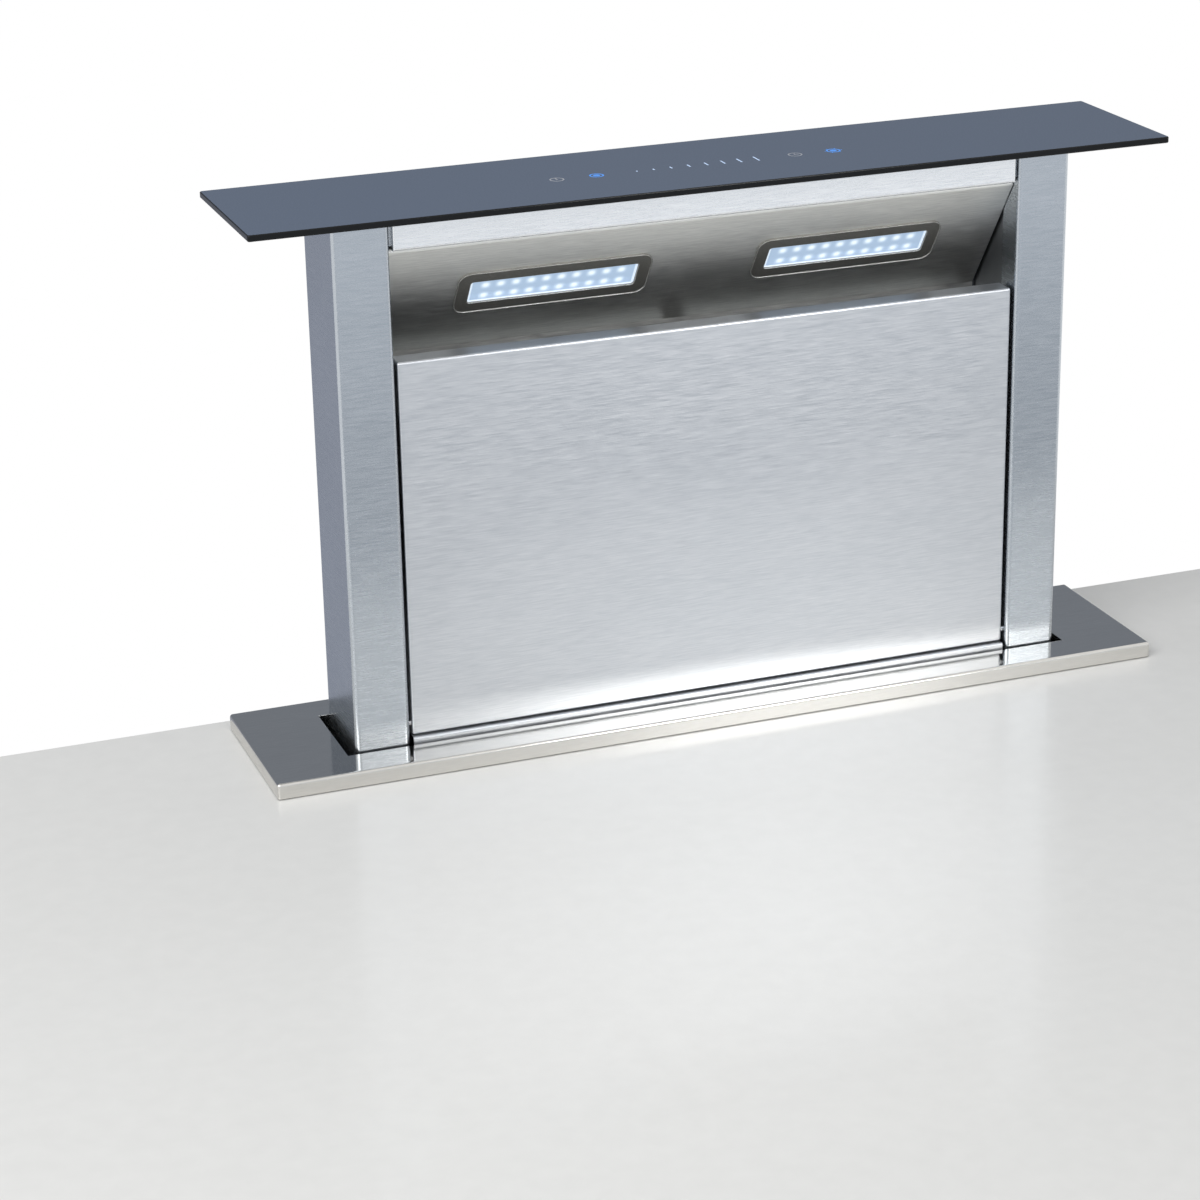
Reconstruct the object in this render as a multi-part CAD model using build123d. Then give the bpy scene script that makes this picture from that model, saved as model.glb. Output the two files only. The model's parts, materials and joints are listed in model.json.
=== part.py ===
from build123d import *
import os
from math import acos, asin, cos, pi, radians, sin, sqrt, tan

# Pop-up downdraft extractor for a kitchen worktop, modelled raised.
# Origin: on the worktop's surface, at the middle of the frame's opening.
# +X runs along the width, +Y to the back and +Z up, so the front faces -Y. Millimetres.

# ---- Driving dimensions -------------------------------------------------------------------

# Worktop frame
FRAME_WIDTH = 600.0
FRAME_DEPTH = 120.0
FRAME_HEIGHT = 10.0
FRAME_END_LIP = 20.0
FRAME_FRONT_LIP = 10.0
FRAME_SHEET = 1.5
FRAME_EDGE = 2.0
COLLAR_DEPTH = 14.0
STUD_RADIUS = 2.0
STUD_LENGTH = 12.0
STUD_COLUMNS = 4
NUT_RADIUS = 3.5
NUT_HEIGHT = 3.2
GASKET_GAP = 1.0

# Tower that rises through the frame
TOWER_END_ROOM = 38.0
TOWER_FRONT_ROOM = 18.0
TOWER_RISE = 338.0
TOWER_TAIL = 110.0
SLOT_GAP_SIDE = 6.0
SLOT_GAP_FRONT = 2.0
CLOSED_GAP = 1.0
SHEET = 1.2
BEND = 1.6

# Columns and the duct between them
COLUMN_WIDTH = 35.5
COLUMN_RETURN = 20.0
COLUMN_BEND = 2.6
CHEEK_SHEET = 1.0
RIVET_INSET = 17.0
RIVET_RADIUS = 1.6
RIVET_HEAD = 3.2
RIVET_DOME = 0.8
RIVET_BEVEL = 0.5
RIVETS_PER_COLUMN = 5

# Glass cap and the rail under it
CAP_INSET = 2.0
CAP_GLASS = 4.0
CAP_CORNER = 1.5
CAP_CHAMFER = 0.5
RAIL_HEIGHT = 22.0
RAIL_GAP = 2.0
RAIL_TAB_SETBACK = 9.0
RAIL_TAB_DEPTH = 14.0
TOUCH_WIDTH = 214.0
TOUCH_DEPTH = 30.0
TOUCH_OFFSET = -4.4
TOUCH_BOARD = 1.6
TOUCH_CHIP = 14.0
TOUCH_CHIP_HEIGHT = 1.2
TOUCH_SOCKET_OFFSET = 69.0
TOUCH_SOCKET_WIDTH = 18.0
TOUCH_SOCKET_DEPTH = 10.0
TOUCH_SOCKET_HEIGHT = 6.0

# Slanted lamp panel
SLANT_ANGLE = 55.0
SLANT_SETBACK = 6.2
SLANT_GAP = 0.4
SLANT_TOP_FLANGE = 22.0
SLANT_BACK_FLANGE = 20.0
LAMP_SHARE = 0.48
LAMP_OFFSET = 4.0
LAMP_DROP = 46.8
BEZEL_WIDTH = 126.0
BEZEL_HEIGHT = 36.0
BEZEL_CORNER = 8.0
BEZEL_THICKNESS = 0.8
BEZEL_RIM = 0.5
SKIRT_MARGIN = 4.0
SKIRT_CORNER = 4.0
SKIRT_DEPTH = 11.0
WINDOW_WIDTH = 109.0
WINDOW_HEIGHT = 19.5
WINDOW_CORNER = 2.0
LENS_THICKNESS = 1.6
LENS_RECESS = 0.4
LENS_FIT = 0.2
REFLECTOR_SHEET = 0.8
REFLECTOR_TAPER = 4.4
LED_COLUMNS = 10
LED_ROWS = 2
LED_PITCH = 9.8
LED_ROW_PITCH = 5.2
LED_SIZE = 2.6
LED_HEIGHT = 0.8
LAMP_BOARD_INSET = 1.0

# Front panel on its two pins
PANEL_GAP = 2.0
PANEL_HEIGHT = 242.0
PANEL_DEPTH = 15.0
PANEL_RECESS = 2.4
PANEL_LIFT = 5.0
PANEL_EDGE = 1.5
LINER_INSET = 1.2
PIN_RADIUS = 2.0
PIN_SETBACK = 4.0
PIN_HEIGHT = 7.0
PIN_REACH = 6.0
PIN_HEAD = 3.4
PIN_CLEARANCE = 1.0
PIN_HEAD_THICKNESS = 1.8
RUNNING_FIT = 0.05
MAGNET_WIDTH = 10.0
MAGNET_DEPTH = 8.0
MAGNET_HEIGHT = 14.0
MAGNET_DROP = 5.0
MAGNET_GAP = 0.3

# Sill under the panel, with the drip trough behind it
SILL_GAP = 1.0
SILL_BEND = 0.9
TROUGH_WIDTH = 15.8
TROUGH_DEPTH = 13.4
TROUGH_SETBACK = 1.2

# Grease filters
FILTER_HEADROOM = 11.6
FILTER_THICKNESS = 9.0
FILTER_RIM = 12.0
FILTER_GROOVE = 4.0
FILTER_MESH = 5.0
FILTER_SIDE_GAP = 0.5
FILTER_SEAT_GAP = 2.0
HANDLE_WIDTH = 46.0
HANDLE_HEIGHT = 9.0
HANDLE_WIRE = 1.5
POST_WIDTH = 14.0
POST_FRONT = -10.0
POST_FLANGE = 12.0

# Housing under the worktop
HOUSING_DROP = 640.0
HOUSING_SHEET = 1.2
HOUSING_LIP = 10.0
HOUSING_RETURN = 18.0
BASE_FLANGE = 14.0
CLAMP_SHEET = 2.0
CLAMP_DEPTH = 76.0
CLAMP_DROP = 50.0
CLAMP_REACH = 18.0
WORKTOP = 40.0
CLAMP_HOLE = 2.3
CLAMP_HOLE_SPACING = 50.0
CLAMP_SCREW_SPACING = 44.0
SCREW_RADIUS = 2.5
SCREW_HEAD = 4.8
SCREW_HEAD_HEIGHT = 3.2
SCREW_LENGTH = 8.0
COVER_SCREW_ROWS = 4

# Guides: channel rails on the housing, sliding shoes on the tower
GUIDE_WIDTH = 34.0
GUIDE_DEPTH = 20.0
GUIDE_SHEET = 2.0
GUIDE_SLOT = 14.0
GUIDE_TOP_GAP = 14.0
GUIDE_TAIL = 30.0
SHOE_HEIGHT = 60.0
SHOE_PLATE = 4.0
SHOE_PLATE_WIDTH = 36.0
SHOE_FIT = 0.5

# Lift drive: motor, gear pair, cross shaft, two pinions on two racks
SHAFT_RADIUS = 5.0
SHAFT_SETBACK = 19.6
SHAFT_DROP = 32.0
PINION_TEETH = 18
PINION_MODULE = 2.0
PINION_WIDTH = 10.0
PINION_GAP = 4.0
GEAR_TEETH = 28
MOTOR_TEETH = 14
GEAR_MODULE = 1.5
GEAR_WIDTH = 8.0
GEAR_X = 34.0
PRESSURE_ANGLE = 20.0
BACKLASH = 0.16
GEAR_ROOT = 1.25
RACK_WIDTH = 12.0
RACK_BACK = 6.0
RACK_WEB = 4.0
RACK_FOOT = 20.0
RACK_FOOT_SHEET = 2.0
RACK_MARGIN = 24.0
BEAM_DEPTH = 30.0
BEAM_HEIGHT = 22.0
BEAM_SHEET = 2.0
BEAM_LIFT = 4.0
BEAM_HOLE = 8.0
BEAM_HOLES = 9
HANGER_SHEET = 4.0
HANGER_INSET = 16.0
BUSH_RADIUS = 10.0
BUSH_LENGTH = 10.0
MOTOR_RADIUS = 15.0
MOTOR_LENGTH = 84.0
MOTOR_CAP_RADIUS = 9.0
MOTOR_CAP_LENGTH = 6.0
MOTOR_PLATE = 3.0
MOTOR_SHAFT = 3.0
MOTOR_SHAFT_DEPTH = 14.0
MOTOR_SHAFT_TIP = 1.0
SHAFT_CLEARANCE = 1.0

# Blower box on the front of the housing
BLOWER_END_ROOM = 115.0
BLOWER_WIDTH = 310.0
BLOWER_HEIGHT = 340.0
BLOWER_DEPTH = 190.0
BLOWER_FLANGE = 12.0
LID_GAP = 0.3
FAN_SETBACK = 179.0
FAN_Z = -468.0
FAN_RADIUS = 79.0
FAN_EYE = 64.0
FAN_WIDTH = 72.0
FAN_BLADES = 32
FAN_BLADE_SHEET = 1.0
FAN_BLADE_LEAD = 5.0
FAN_BLADE_BOW = 3.0
FAN_BLADE_TIP = 0.6
FAN_DISC = 1.5
FAN_HUB = 14.0
FAN_HUB_LENGTH = 24.0
FAN_SHAFT = 4.0
FAN_SHAFT_LENGTH = 48.0
FAN_GAP = 6.0
FAN_CLEARANCE = 2.0
SCROLL_RADIUS = 92.0
SCROLL_STEP = 13.0
SCROLL_WALL = 2.0
SCROLL_WIDTH = 95.0
SCROLL_SETBACK = 38.8
THROAT_HEIGHT = 88.0
THROAT_FLANGE = 10.0
INLET_RADIUS = 84.0
INLET_THROAT = 58.0
INLET_FLANGE = 12.0
INLET_SHEET = 1.2
MOTOR_FLANGE = 52.0
MOTOR_FLANGE_SHEET = 3.0
FAN_MOTOR_RADIUS = 44.0
FAN_MOTOR_LENGTH = 44.0
FAN_MOTOR_EDGE = 5.0

# Outlet spigot with its two back-draught flaps
SPIGOT_RADIUS = 74.5
SPIGOT_WALL = 1.5
SPIGOT_LENGTH = 75.0
SPIGOT_FLANGE = 84.0
SPIGOT_FLANGE_SHEET = 3.0
LEDGE_WIDTH = 4.0
LEDGE_SHEET = 2.0
FLAP_SHEET = 1.5
FLAP_EDGE_GAP = 2.0
FLAP_SPLIT = 4.0
FLAP_SETBACK = 7.0
FLAP_KNUCKLE = 3.2
FLAP_PIN = 1.5
KNUCKLE_LENGTH = 24.0
KNUCKLE_GAP = 1.0
KNUCKLE_START = 10.0

# Control box
BOX_WIDTH = 160.0
BOX_HEIGHT = 130.0
BOX_DEPTH = 45.0
BOX_X = -60.0
BOX_TOP = -140.0
BOX_SHEET = 1.2
BOARD_MARGIN = 8.0
BOARD_SHEET = 1.6
BOARD_STANDOFF = 6.0
STANDOFF_RADIUS = 3.0
BOARD_PART_INSET = 14.0
TRANSFORMER_WIDTH = 36.0
TRANSFORMER_HEIGHT = 30.0
TRANSFORMER_DEPTH = 24.0
CAPACITOR_RADIUS = 8.0
CAPACITOR_LENGTH = 22.0
CAPACITOR_PITCH = 22.0
TERMINAL_WIDTH = 76.0
TERMINAL_SIZE = 10.0
GLAND_BORE = 4.2
GLAND_NECK = 8.0
GLAND_NUT = 10.0
GLAND_LENGTH = 22.0
GLAND_TAIL = 4.0
GLAND_DOME = 9.0
GLAND_ROUNDING = 3.0
GLAND_NUT_LENGTH = 7.0

# ---- Places worked out from the dimensions above ------------------------------------------

housing_x = FRAME_WIDTH / 2 - FRAME_END_LIP
housing_y = FRAME_DEPTH / 2 - FRAME_FRONT_LIP
housing_front_y = -housing_y - HOUSING_SHEET
housing_bottom = -HOUSING_DROP
plate_top = FRAME_HEIGHT - FRAME_SHEET

tower_top = FRAME_HEIGHT + TOWER_RISE
tower_bottom = -TOWER_TAIL
side = housing_x - TOWER_END_ROOM
back = housing_y - TOWER_FRONT_ROOM
front = -back
inner = side - COLUMN_WIDTH
travel = TOWER_RISE - CLOSED_GAP
sheet_mid = SHEET / 2
duct_back = back - 2 * SHEET
opening_x = side + SLOT_GAP_SIDE
opening_y = back + SLOT_GAP_FRONT

rail_bottom = tower_top - RAIL_HEIGHT
rail_half = inner - RAIL_GAP
panel_half = inner - PANEL_GAP
panel_bottom = FRAME_HEIGHT + PANEL_LIFT
panel_top = panel_bottom + PANEL_HEIGHT
panel_front = front + PANEL_RECESS
panel_back = panel_front + PANEL_DEPTH
pin_y = panel_front + PIN_SETBACK
pin_z = panel_bottom + PIN_HEIGHT

sill_top = panel_bottom - SILL_GAP
trough_front = panel_back + TROUGH_SETBACK
trough_back = trough_front + TROUGH_WIDTH
trough_floor = sill_top - TROUGH_DEPTH

slant = radians(SLANT_ANGLE)
nose = (front + SLANT_SETBACK, rail_bottom - sheet_mid)
slant_foot_y = duct_back - sheet_mid
slant_foot = (slant_foot_y, nose[1] - (slant_foot_y - nose[0]) * tan(slant))

filter_seat = (trough_back - sheet_mid - FILTER_SEAT_GAP, trough_floor + sheet_mid)
filter_run = slant_foot[0] - sheet_mid - filter_seat[0]
filter_rise = slant_foot[1] - FILTER_HEADROOM - filter_seat[1]
filter_length = sqrt(filter_run ** 2 + filter_rise ** 2)

shaft_y = duct_back - SHAFT_SETBACK
shaft_z = tower_bottom - SHAFT_DROP
pinion_pitch = PINION_TEETH * PINION_MODULE / 2
gear_distance = (GEAR_TEETH + MOTOR_TEETH) * GEAR_MODULE / 2
motor_y = shaft_y - gear_distance
pinion_x = side + PINION_GAP
rack_pitch_y = shaft_y + pinion_pitch
beam_bottom = tower_bottom + BEAM_LIFT
beam_top = beam_bottom + BEAM_HEIGHT

blower_left = BLOWER_END_ROOM - housing_x
blower_right = blower_left + BLOWER_WIDTH
fan_x = blower_left + FAN_SETBACK
blower_back = housing_front_y
blower_front = blower_back - BLOWER_DEPTH
blower_top = housing_bottom + BLOWER_HEIGHT
scroll_back = blower_back - SCROLL_SETBACK
scroll_front = scroll_back - SCROLL_WIDTH
scroll_floor = FAN_Z - SCROLL_STEP - (SCROLL_RADIUS + 2 * SCROLL_STEP)
fan_back = scroll_back - FAN_GAP
spigot_y = (scroll_back + scroll_front) / 2
spigot_z = scroll_floor + THROAT_HEIGHT / 2
spigot_face = blower_left - SPIGOT_FLANGE_SHEET
flap_x = spigot_face - FLAP_SETBACK
box_front = housing_front_y - BOX_DEPTH


# ---- Helpers ------------------------------------------------------------------------------

def block(x, y, z):
    """Box between the low and high values of each axis."""
    size = Box(x[1] - x[0], y[1] - y[0], z[1] - z[0])
    return Pos((x[0] + x[1]) / 2, (y[0] + y[1]) / 2, (z[0] + z[1]) / 2) * size


def rod(radius, start, end):
    """Round bar between two points."""
    line = Vector(*end) - Vector(*start)
    return extrude(Plane(origin=start, z_dir=line) * Circle(radius), line.length)


def strip(points, sheet=SHEET, bend=BEND):
    """Cross-section of a folded sheet, from the corners of its middle line."""
    return trace(FilletPolyline(*points, radius=bend), sheet)


def folded_upright(points, low, high, sheet=SHEET, bend=BEND):
    """Sheet folded to a plan outline, standing from low to high."""
    return extrude(Pos(0, 0, low) * strip(points, sheet, bend), high - low)


def folded_across(points, half_width, sheet=SHEET, bend=BEND):
    """Sheet folded to a side outline in Y and Z, as wide as the tower's middle needs."""
    return extrude(Plane.YZ * strip(points, sheet, bend), half_width, both=True)


def other_side(piece):
    """The left-hand copy of a right-hand piece."""
    return mirror(piece, about=Plane.YZ)


def spread(count, pitch):
    """Places of a centred row."""
    return [(i - (count - 1) / 2) * pitch for i in range(count)]


def frustum(low_size, high_size, low, high):
    """Tapered block between two rectangles."""
    ends = Sketch() + [Pos(0, 0, low) * Rectangle(*low_size), Pos(0, 0, high) * Rectangle(*high_size)]
    return loft(ends)


def tooth_angle(radius, base):
    """How far an involute has turned where it reaches a radius."""
    pressure = acos(base / radius)
    return tan(pressure) - pressure


def gear(teeth, module, width, phase=0.0):
    """Spur gear along +X from the YZ plane, with one tooth on the phase angle."""
    pitch = teeth * module / 2
    base = pitch * cos(radians(PRESSURE_ANGLE))
    tip = pitch + module
    root = pitch - GEAR_ROOT * module
    start = max(base, root)
    half = pi / (2 * teeth) - BACKLASH / (4 * pitch) + tooth_angle(pitch, base)
    tip_half = half - tooth_angle(tip, base)
    middle = (start + tip) / 2
    middle_half = half - tooth_angle(middle, base)
    foot_half = half - tooth_angle(start, base)

    def at(radius, angle):
        return (radius * cos(angle), radius * sin(angle))

    tooth = Polyline(at(start, foot_half), at(0, 0), at(start, -foot_half))
    tooth += ThreePointArc(at(start, -foot_half), at(middle, -middle_half), at(tip, -tip_half))
    tooth += Line(at(tip, -tip_half), at(tip, tip_half))
    tooth += ThreePointArc(at(tip, tip_half), at(middle, middle_half), at(start, foot_half))
    body = Circle(root) + [Rot(0, 0, phase + 360 / teeth * i) * make_face(tooth) for i in range(teeth)]
    return extrude(Plane.YZ * body, width)


# ---- Worktop frame ------------------------------------------------------------------------

def stud_places():
    """Middle of each welded stud, in the lips in front of and behind the collar."""
    row_y = (opening_y + FRAME_SHEET + housing_y - HOUSING_SHEET) / 2
    pitch = 2 * housing_x / STUD_COLUMNS
    return [(x, y) for x in spread(STUD_COLUMNS, pitch) for y in (-row_y, row_y)]


def worktop_frame():
    """Shallow stainless tray, upside down, with a collar round the tower's opening."""
    half_x = FRAME_WIDTH / 2
    half_y = FRAME_DEPTH / 2
    frame = block((-half_x, half_x), (-half_y, half_y), (0, FRAME_HEIGHT))
    frame = fillet(frame.edges().filter_by(Axis.Z), FRAME_EDGE)
    frame = fillet(frame.faces().sort_by(Axis.Z)[-1].edges(), FRAME_EDGE)
    hollow_x = half_x - FRAME_SHEET
    hollow_y = half_y - FRAME_SHEET
    frame -= block((-hollow_x, hollow_x), (-hollow_y, hollow_y), (0, plate_top))
    collar_x = opening_x + HOUSING_SHEET
    collar_y = opening_y + HOUSING_SHEET
    frame += block((-collar_x, collar_x), (-collar_y, collar_y), (plate_top - COLLAR_DEPTH, plate_top))
    for x, y in stud_places():
        frame += rod(STUD_RADIUS, (x, y, plate_top - STUD_LENGTH), (x, y, plate_top))
    tall = (plate_top - COLLAR_DEPTH, FRAME_HEIGHT)
    return frame - block((-opening_x, opening_x), (-opening_y, opening_y), tall)


def frame_gasket():
    """Foam strip between the frame's plate and the worktop, round the housing."""
    outer_x = FRAME_WIDTH / 2 - FRAME_SHEET - GASKET_GAP
    outer_y = FRAME_DEPTH / 2 - FRAME_SHEET - GASKET_GAP
    inner_x = housing_x + GASKET_GAP
    inner_y = housing_y + HOUSING_SHEET + GASKET_GAP
    ring = block((-outer_x, outer_x), (-outer_y, outer_y), (0, plate_top))
    return ring - block((-inner_x, inner_x), (-inner_y, inner_y), (0, plate_top))


def frame_nuts():
    """Hexagon nuts that pull the housing's lips up against the frame."""
    high = plate_top - HOUSING_SHEET
    nuts = []
    for x, y in stud_places():
        outline = RegularPolygon(NUT_RADIUS, 6, major_radius=False) - Circle(STUD_RADIUS)
        nuts.append(extrude(Pos(x, y, high - NUT_HEIGHT) * outline, NUT_HEIGHT))
    return nuts


# ---- Tower --------------------------------------------------------------------------------

def rivet_places():
    """Middle of each rivet down the back of the right column."""
    low = tower_bottom + RIVET_INSET * 2
    high = tower_top - RIVET_INSET
    step = (high - low) / (RIVETS_PER_COLUMN - 1)
    return [(side - RIVET_INSET, low + step * i) for i in range(RIVETS_PER_COLUMN)]


def drilled(piece):
    """Piece with the rivet holes of both columns through it."""
    for x, z in rivet_places():
        for place in (-x, x):
            piece -= rod(RIVET_RADIUS, (place, duct_back - 2 * SHEET, z), (place, back + SHEET, z))
    return piece


def column():
    """Right column cover: one sheet folded round the front, side and back."""
    outline = [
        (inner + sheet_mid, front + COLUMN_RETURN),
        (inner + sheet_mid, front + sheet_mid),
        (side - sheet_mid, front + sheet_mid),
        (side - sheet_mid, back - sheet_mid),
        (inner, back - sheet_mid),
    ]
    cover = folded_upright(outline, tower_bottom, tower_top, SHEET, COLUMN_BEND)
    hole_ends = ((inner - SHEET, pin_y, pin_z), (inner + 2 * SHEET, pin_y, pin_z))
    return drilled(cover - rod(PIN_RADIUS + RUNNING_FIT, *hole_ends))


def cheek():
    """Right side wall of the duct, tucked behind the column's return."""
    wall_x = inner + SHEET + CHEEK_SHEET / 2
    outline = [
        (wall_x, front + SHEET + COLUMN_BEND),
        (wall_x, duct_back - CHEEK_SHEET / 2),
        (side - RIVET_INSET + 2 * RIVET_HEAD, duct_back - CHEEK_SHEET / 2),
    ]
    wall = folded_upright(outline, beam_top + CHEEK_SHEET, rail_bottom, CHEEK_SHEET)
    wall -= rod(PIN_HEAD + PIN_CLEARANCE, (inner, pin_y, pin_z), (side, pin_y, pin_z))
    return drilled(wall)


def tower_back():
    """Back wall of the duct, inside the back of both columns."""
    half = side - SHEET - COLUMN_BEND
    plate = block((-half, half), (duct_back, back - SHEET), (tower_bottom, tower_top))
    return drilled(plate)


def tower_rivets():
    """Blind rivets through column, back wall and cheek."""
    rivets = []
    for x, z in rivet_places():
        for place in (-x, x):
            shank = rod(RIVET_RADIUS, (place, duct_back - CHEEK_SHEET, z), (place, back, z))
            head = rod(RIVET_HEAD, (place, back, z), (place, back + RIVET_DOME, z))
            head = chamfer(head.faces().sort_by(Axis.Y)[-1].edges(), RIVET_BEVEL)
            rivets.append(shank + head)
    return rivets


def glass_cap():
    """Glass plate with polished edges that covers the frame when the tower is down."""
    half_x = FRAME_WIDTH / 2 - CAP_INSET
    half_y = FRAME_DEPTH / 2 - CAP_INSET
    plate = block((-half_x, half_x), (-half_y, half_y), (tower_top, tower_top + CAP_GLASS))
    plate = fillet(plate.edges().filter_by(Axis.Z), CAP_CORNER)
    rims = plate.faces().sort_by(Axis.Z)[-1].edges() + plate.faces().sort_by(Axis.Z)[0].edges()
    return chamfer(rims, CAP_CHAMFER)


def touch_bounds(margin):
    """Plan limits of the touch board, grown by a margin."""
    half_x = TOUCH_WIDTH / 2 + margin
    half_y = TOUCH_DEPTH / 2 + margin
    return (-half_x, half_x), (TOUCH_OFFSET - half_y, TOUCH_OFFSET + half_y)


def top_rail():
    """Box rail under the glass, cut out on top for the touch board."""
    rail = block((-rail_half, rail_half), (front, duct_back), (rail_bottom, tower_top))
    front_edges = rail.faces().sort_by(Axis.Y)[0].edges()
    rail = fillet(front_edges.filter_by(Axis.Z) + front_edges.sort_by(Axis.Z)[0:1], BEND)
    inside = (front + SHEET, duct_back - SHEET)
    room = (rail_bottom + SHEET, tower_top - SHEET)
    rail -= block((-rail_half + SHEET, rail_half - SHEET), inside, room)
    rail -= block(*touch_bounds(SHEET), (tower_top - 2 * SHEET, tower_top))
    tab_y = (front + RAIL_TAB_SETBACK, front + RAIL_TAB_SETBACK + RAIL_TAB_DEPTH)
    tab = block((rail_half - SHEET, inner), tab_y, (rail_bottom + SHEET, tower_top - SHEET))
    return rail + tab + other_side(tab)


def touch_board():
    """Circuit board bonded under the glass, with its chip and plug socket."""
    board = block(*touch_bounds(0), (tower_top - TOUCH_BOARD, tower_top))
    under = tower_top - TOUCH_BOARD
    chip = Box(TOUCH_CHIP, TOUCH_CHIP, TOUCH_CHIP_HEIGHT)
    socket = Box(TOUCH_SOCKET_WIDTH, TOUCH_SOCKET_DEPTH, TOUCH_SOCKET_HEIGHT)
    board += Pos(0, TOUCH_OFFSET, under - TOUCH_CHIP_HEIGHT / 2) * chip
    return board + Pos(TOUCH_SOCKET_OFFSET, TOUCH_OFFSET, under - TOUCH_SOCKET_HEIGHT / 2) * socket


# ---- Slanted lamp panel and lamps ---------------------------------------------------------

def lamp_place(x):
    """Plane of one lamp: X along the panel, Y up the slope, Z out of its visible face."""
    skin_y = nose[0] - sheet_mid * sin(slant) + LAMP_DROP * cos(slant)
    skin_z = nose[1] - sheet_mid * cos(slant) - LAMP_DROP * sin(slant)
    return Plane(origin=(x, skin_y, skin_z), x_dir=(1, 0, 0), z_dir=(0, -sin(slant), -cos(slant)))


def lamp_places():
    """Planes of the left and right lamps."""
    return [lamp_place(x + LAMP_OFFSET) for x in spread(2, 2 * rail_half * LAMP_SHARE)]


def skirt_outline(clearance):
    """Outline of the bezel's skirt, grown by a clearance."""
    width = BEZEL_WIDTH - 2 * SKIRT_MARGIN + 2 * clearance
    height = BEZEL_HEIGHT - 2 * SKIRT_MARGIN + 2 * clearance
    return RectangleRounded(width, height, SKIRT_CORNER)


def lamp_panel():
    """Sheet that slants from the rail's front down to the duct's back."""
    outline = [
        (nose[0] + SLANT_TOP_FLANGE, nose[1]),
        nose,
        slant_foot,
        (slant_foot[0], slant_foot[1] - SLANT_BACK_FLANGE),
    ]
    panel = folded_across(outline, inner - SLANT_GAP)
    for place in lamp_places():
        panel -= extrude(place * skirt_outline(SLANT_GAP), 2 * SHEET, both=True)
    return panel


def lamp_bezel(place):
    """Moulded lamp surround with a fine raised rim and a skirt through the panel."""
    outline = RectangleRounded(BEZEL_WIDTH, BEZEL_HEIGHT, BEZEL_CORNER)
    flat_width = BEZEL_WIDTH - 2 * BEZEL_RIM
    flat_height = BEZEL_HEIGHT - 2 * BEZEL_RIM
    flat = RectangleRounded(flat_width, flat_height, BEZEL_CORNER - BEZEL_RIM)
    bezel = extrude(outline, BEZEL_THICKNESS)
    bezel += extrude(Pos(0, 0, BEZEL_THICKNESS) * (outline - flat), BEZEL_RIM)
    bezel += extrude(skirt_outline(0), -SKIRT_DEPTH)
    window = RectangleRounded(WINDOW_WIDTH, WINDOW_HEIGHT, WINDOW_CORNER)
    bezel -= extrude(window, SKIRT_DEPTH, both=True)
    return place.location * bezel


def lamp_lens(place):
    """Clear cover set a little way into the window."""
    outline = RectangleRounded(WINDOW_WIDTH - LENS_FIT, WINDOW_HEIGHT - LENS_FIT, WINDOW_CORNER)
    return place.location * (Pos(0, 0, -LENS_RECESS) * extrude(outline, -LENS_THICKNESS))


def lamp_reflector(place):
    """White tapered tray between the lens and the lamp board."""
    high = -LENS_RECESS - LENS_THICKNESS
    low = -SKIRT_DEPTH
    wide = (WINDOW_WIDTH - 2 * WINDOW_CORNER, WINDOW_HEIGHT - LENS_FIT)
    narrow = (wide[0] - 2 * REFLECTOR_TAPER, wide[1] - 2 * REFLECTOR_TAPER)
    wall = 2 * REFLECTOR_SHEET
    tray = frustum(narrow, wide, low, high)
    tray -= frustum((narrow[0] - wall, narrow[1] - wall), (wide[0] - wall, wide[1] - wall), low, high)
    return place.location * tray


def lamp_board(place):
    """Circuit board that closes the lamp's back, with its light-emitting chips."""
    board = extrude(Pos(0, 0, -SKIRT_DEPTH) * skirt_outline(-LAMP_BOARD_INSET), -BOARD_SHEET)
    for x in spread(LED_COLUMNS, LED_PITCH):
        for y in spread(LED_ROWS, LED_ROW_PITCH):
            chip = Box(LED_SIZE, LED_SIZE, LED_HEIGHT)
            board += Pos(x, y, -SKIRT_DEPTH + LED_HEIGHT / 2) * chip
    return place.location * board


# ---- Front panel --------------------------------------------------------------------------

def front_panel():
    """Suction panel: a shallow tray, open to the back, that tilts on two pins."""
    half = panel_half
    panel = block((-half, half), (panel_front, panel_back), (panel_bottom, panel_top))
    rims = panel.edges().filter_by(Axis.Y) + panel.faces().sort_by(Axis.Y)[0].edges()
    panel = fillet(rims, PANEL_EDGE)
    hollow_z = (panel_bottom + SHEET, panel_top - SHEET)
    panel -= block((-half + SHEET, half - SHEET), (panel_front + SHEET, panel_back), hollow_z)
    return panel - rod(PIN_RADIUS + RUNNING_FIT, (-half, pin_y, pin_z), (half, pin_y, pin_z))


def panel_liner():
    """Inner skin that stiffens the front panel."""
    half = panel_half - SHEET
    depth = (panel_back - LINER_INSET - SHEET, panel_back - LINER_INSET)
    return block((-half, half), depth, (panel_bottom + SHEET, panel_top - SHEET))


def panel_pins():
    """Headed pins in the columns' returns that the front panel turns on."""
    head_x = inner + SHEET
    pin = rod(PIN_RADIUS, (panel_half - PIN_REACH, pin_y, pin_z), (head_x, pin_y, pin_z))
    pin += rod(PIN_HEAD, (head_x, pin_y, pin_z), (head_x + PIN_HEAD_THICKNESS, pin_y, pin_z))
    return [pin, other_side(pin)]


def catch_magnets():
    """Magnet catches on the cheeks that hold the panel's upper corners."""
    y = (panel_back + MAGNET_GAP, panel_back + MAGNET_GAP + MAGNET_DEPTH)
    z = (panel_top - MAGNET_DROP - MAGNET_HEIGHT, panel_top - MAGNET_DROP)
    magnet = block((inner - MAGNET_WIDTH, inner), y, z)
    magnet += block((inner, inner + SHEET), (front + COLUMN_RETURN + MAGNET_GAP, y[1]), z)
    return [magnet, other_side(magnet)]


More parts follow.
